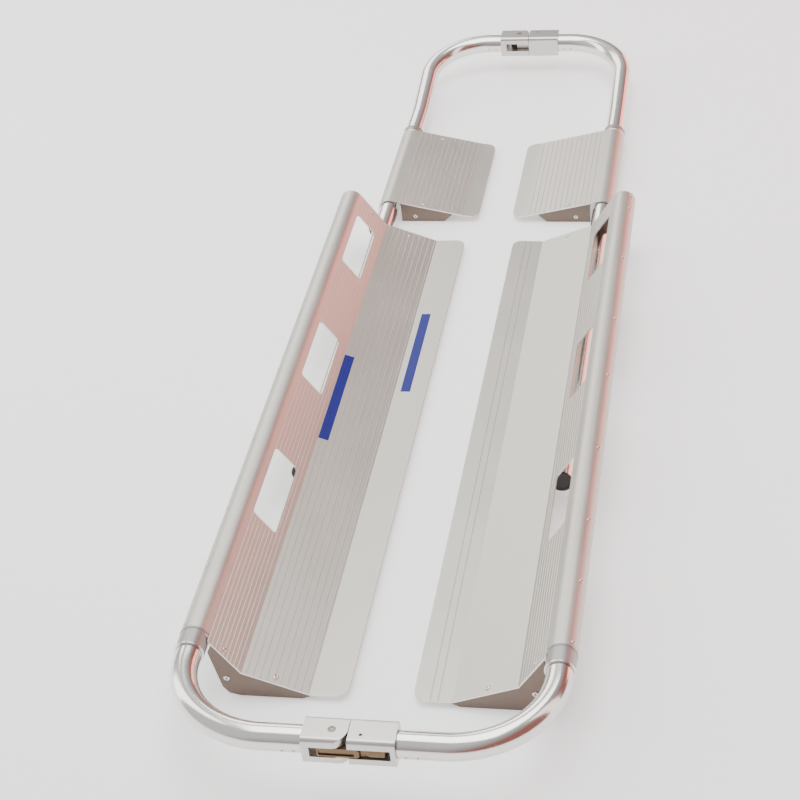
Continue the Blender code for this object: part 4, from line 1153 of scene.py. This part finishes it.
BARS = [(BREAK, FOLD, 0.139, 0.1515, 0.420, 0.602, lined(BREAK, FOLD, *BLADE_RIBS, RIB)),
        (EDGE, BREAK, 0.058, 0.071, 0.558, 0.742, [])]
for index, (start, end, inner_x, outer_x, near, far, ribs) in enumerate(BARS):
    strip = film_strip(start, end, inner_x, outer_x, ribs)
    bar = object_from(f"blue_bar_{index + 1}", lambda shape: prism(
        shape, strip, MAIN_START + near, MAIN_START + far, along_y(-1)), VINYL)
    finish_piece(bar, "left_main", "panel")

# %% [markdown]
# ## Floor, light and camera
# The stretcher lies on a plain pale floor under soft light. Metal shows what is round it,
# so the light is a few large soft panels: their edges draw the highlights that run
# along the tubes.

# %% Floor
FLOOR_HALF = 9.0
floor_look = bpy.data.materials.new("pale_floor")
floor_look.use_nodes = True
floor_surface = floor_look.node_tree.nodes["Principled BSDF"]
floor_surface.inputs["Roughness"].default_value = 0.6
floor_surface.inputs["Emission Color"].default_value = (1, 1, 1, 1)
floor_surface.inputs["Emission Strength"].default_value = 0.55
floor_noise = add_node(floor_look.node_tree, "ShaderNodeTexNoise", {"Scale": 3.0})
floor_ramp = floor_look.node_tree.nodes.new("ShaderNodeValToRGB")
floor_ramp.color_ramp.elements[0].color = (0.93, 0.93, 0.93, 1)
floor_ramp.color_ramp.elements[1].color = (0.97, 0.97, 0.97, 1)
link_all(floor_look.node_tree, [
    (floor_noise.outputs["Fac"], floor_ramp.inputs["Fac"]),
    (floor_ramp.outputs["Color"], floor_surface.inputs["Base Color"]),
])


def floor_sheet(shape):
    corners = [(-1, -1), (1, -1), (1, 1), (-1, 1)]
    shape.faces.new([shape.verts.new((a * FLOOR_HALF, b * FLOOR_HALF, -HAIR))
                     for a, b in corners])


floor = object_from("floor", floor_sheet, floor_look)

# %% Light
SKY_TOP = 0.8
world = bpy.data.worlds.new("studio")
bpy.context.scene.world = world
world.use_nodes = True
background = world.node_tree.nodes["Background"]
sky_place = world.node_tree.nodes.new("ShaderNodeTexCoord")
sky_lean = add_node(world.node_tree, "ShaderNodeVectorMath", {1: (-0.8, 0, 1)},
                    operation="DOT_PRODUCT")
sky_ramp = world.node_tree.nodes.new("ShaderNodeValToRGB")
for position, colour in ((0.0, (0.46, 0.17, 0.14, 1)), (0.35, (0.53, 0.50, 0.51, 1)),
                         (SKY_TOP, (0.90, 0.90, 0.88, 1))):
    stops = sky_ramp.color_ramp.elements
    stop = stops.new(position) if 0 < position < SKY_TOP else stops[-1 if position else 0]
    stop.position = position
    stop.color = colour
link_all(world.node_tree, [
    (sky_place.outputs["Generated"], sky_lean.inputs[0]),
    (sky_lean.outputs["Value"], sky_ramp.inputs["Fac"]),
    (sky_ramp.outputs["Color"], background.inputs["Color"]),
])
background.inputs["Strength"].default_value = 0.95


def soft_panel(name, place, target, width, height, power, colour=(1, 1, 1)):
    """A large rectangular area light that faces a point."""
    lamp = bpy.data.lights.new(name, "AREA")
    lamp.shape = "RECTANGLE"
    lamp.size = width
    lamp.size_y = height
    lamp.energy = power
    lamp.color = colour
    made = placed(name, lamp)
    made.location = place
    made.rotation_euler = (Vector(target) - Vector(place)).to_track_quat("-Z", "Y").to_euler()


soft_panel("overhead", (0.0, 0.3, 3.2), (0, 0, 0), 2.4, 3.4, 105)
soft_panel("left_strip", (-2.6, 0.2, 1.6), (0, 0, 0), 1.2, 3.6, 42)
soft_panel("right_strip", (2.4, -0.2, 1.2), (0, 0, 0), 0.8, 3.2, 18, (1.0, 0.90, 0.86))
soft_panel("far_panel", (-1.9, 3.1, 1.9), (0, 0.2, 0), 2.6, 1.8, 48, (1.0, 0.98, 0.94))
soft_panel("warm_wall", (1.75, 2.1, 0.40), (0, 0.1, 0.05), 2.6, 0.75, 22, (1.0, 0.30, 0.25))

# %% Camera
camera_data = bpy.data.cameras.new("camera")
camera_data.sensor_width = 36
camera_data.lens = 83.6
camera = placed("camera", camera_data)
CAMERA_PLACE = Vector((0.393, -2.078, 1.453))
CAMERA_TARGET = Vector((-0.068, -0.154, 0.009))
CAMERA_ROLL = -0.1173
ahead = (CAMERA_TARGET - CAMERA_PLACE).normalized()
right = ahead.cross(Vector((0, 0, 1))).normalized()
above = right.cross(ahead)
rolled_right = math.cos(CAMERA_ROLL) * right + math.sin(CAMERA_ROLL) * above
rolled_up = -math.sin(CAMERA_ROLL) * right + math.cos(CAMERA_ROLL) * above
turn = Matrix((rolled_right, rolled_up, -ahead)).transposed().to_4x4()
camera.matrix_world = Matrix.Translation(CAMERA_PLACE) @ turn
bpy.context.scene.camera = camera
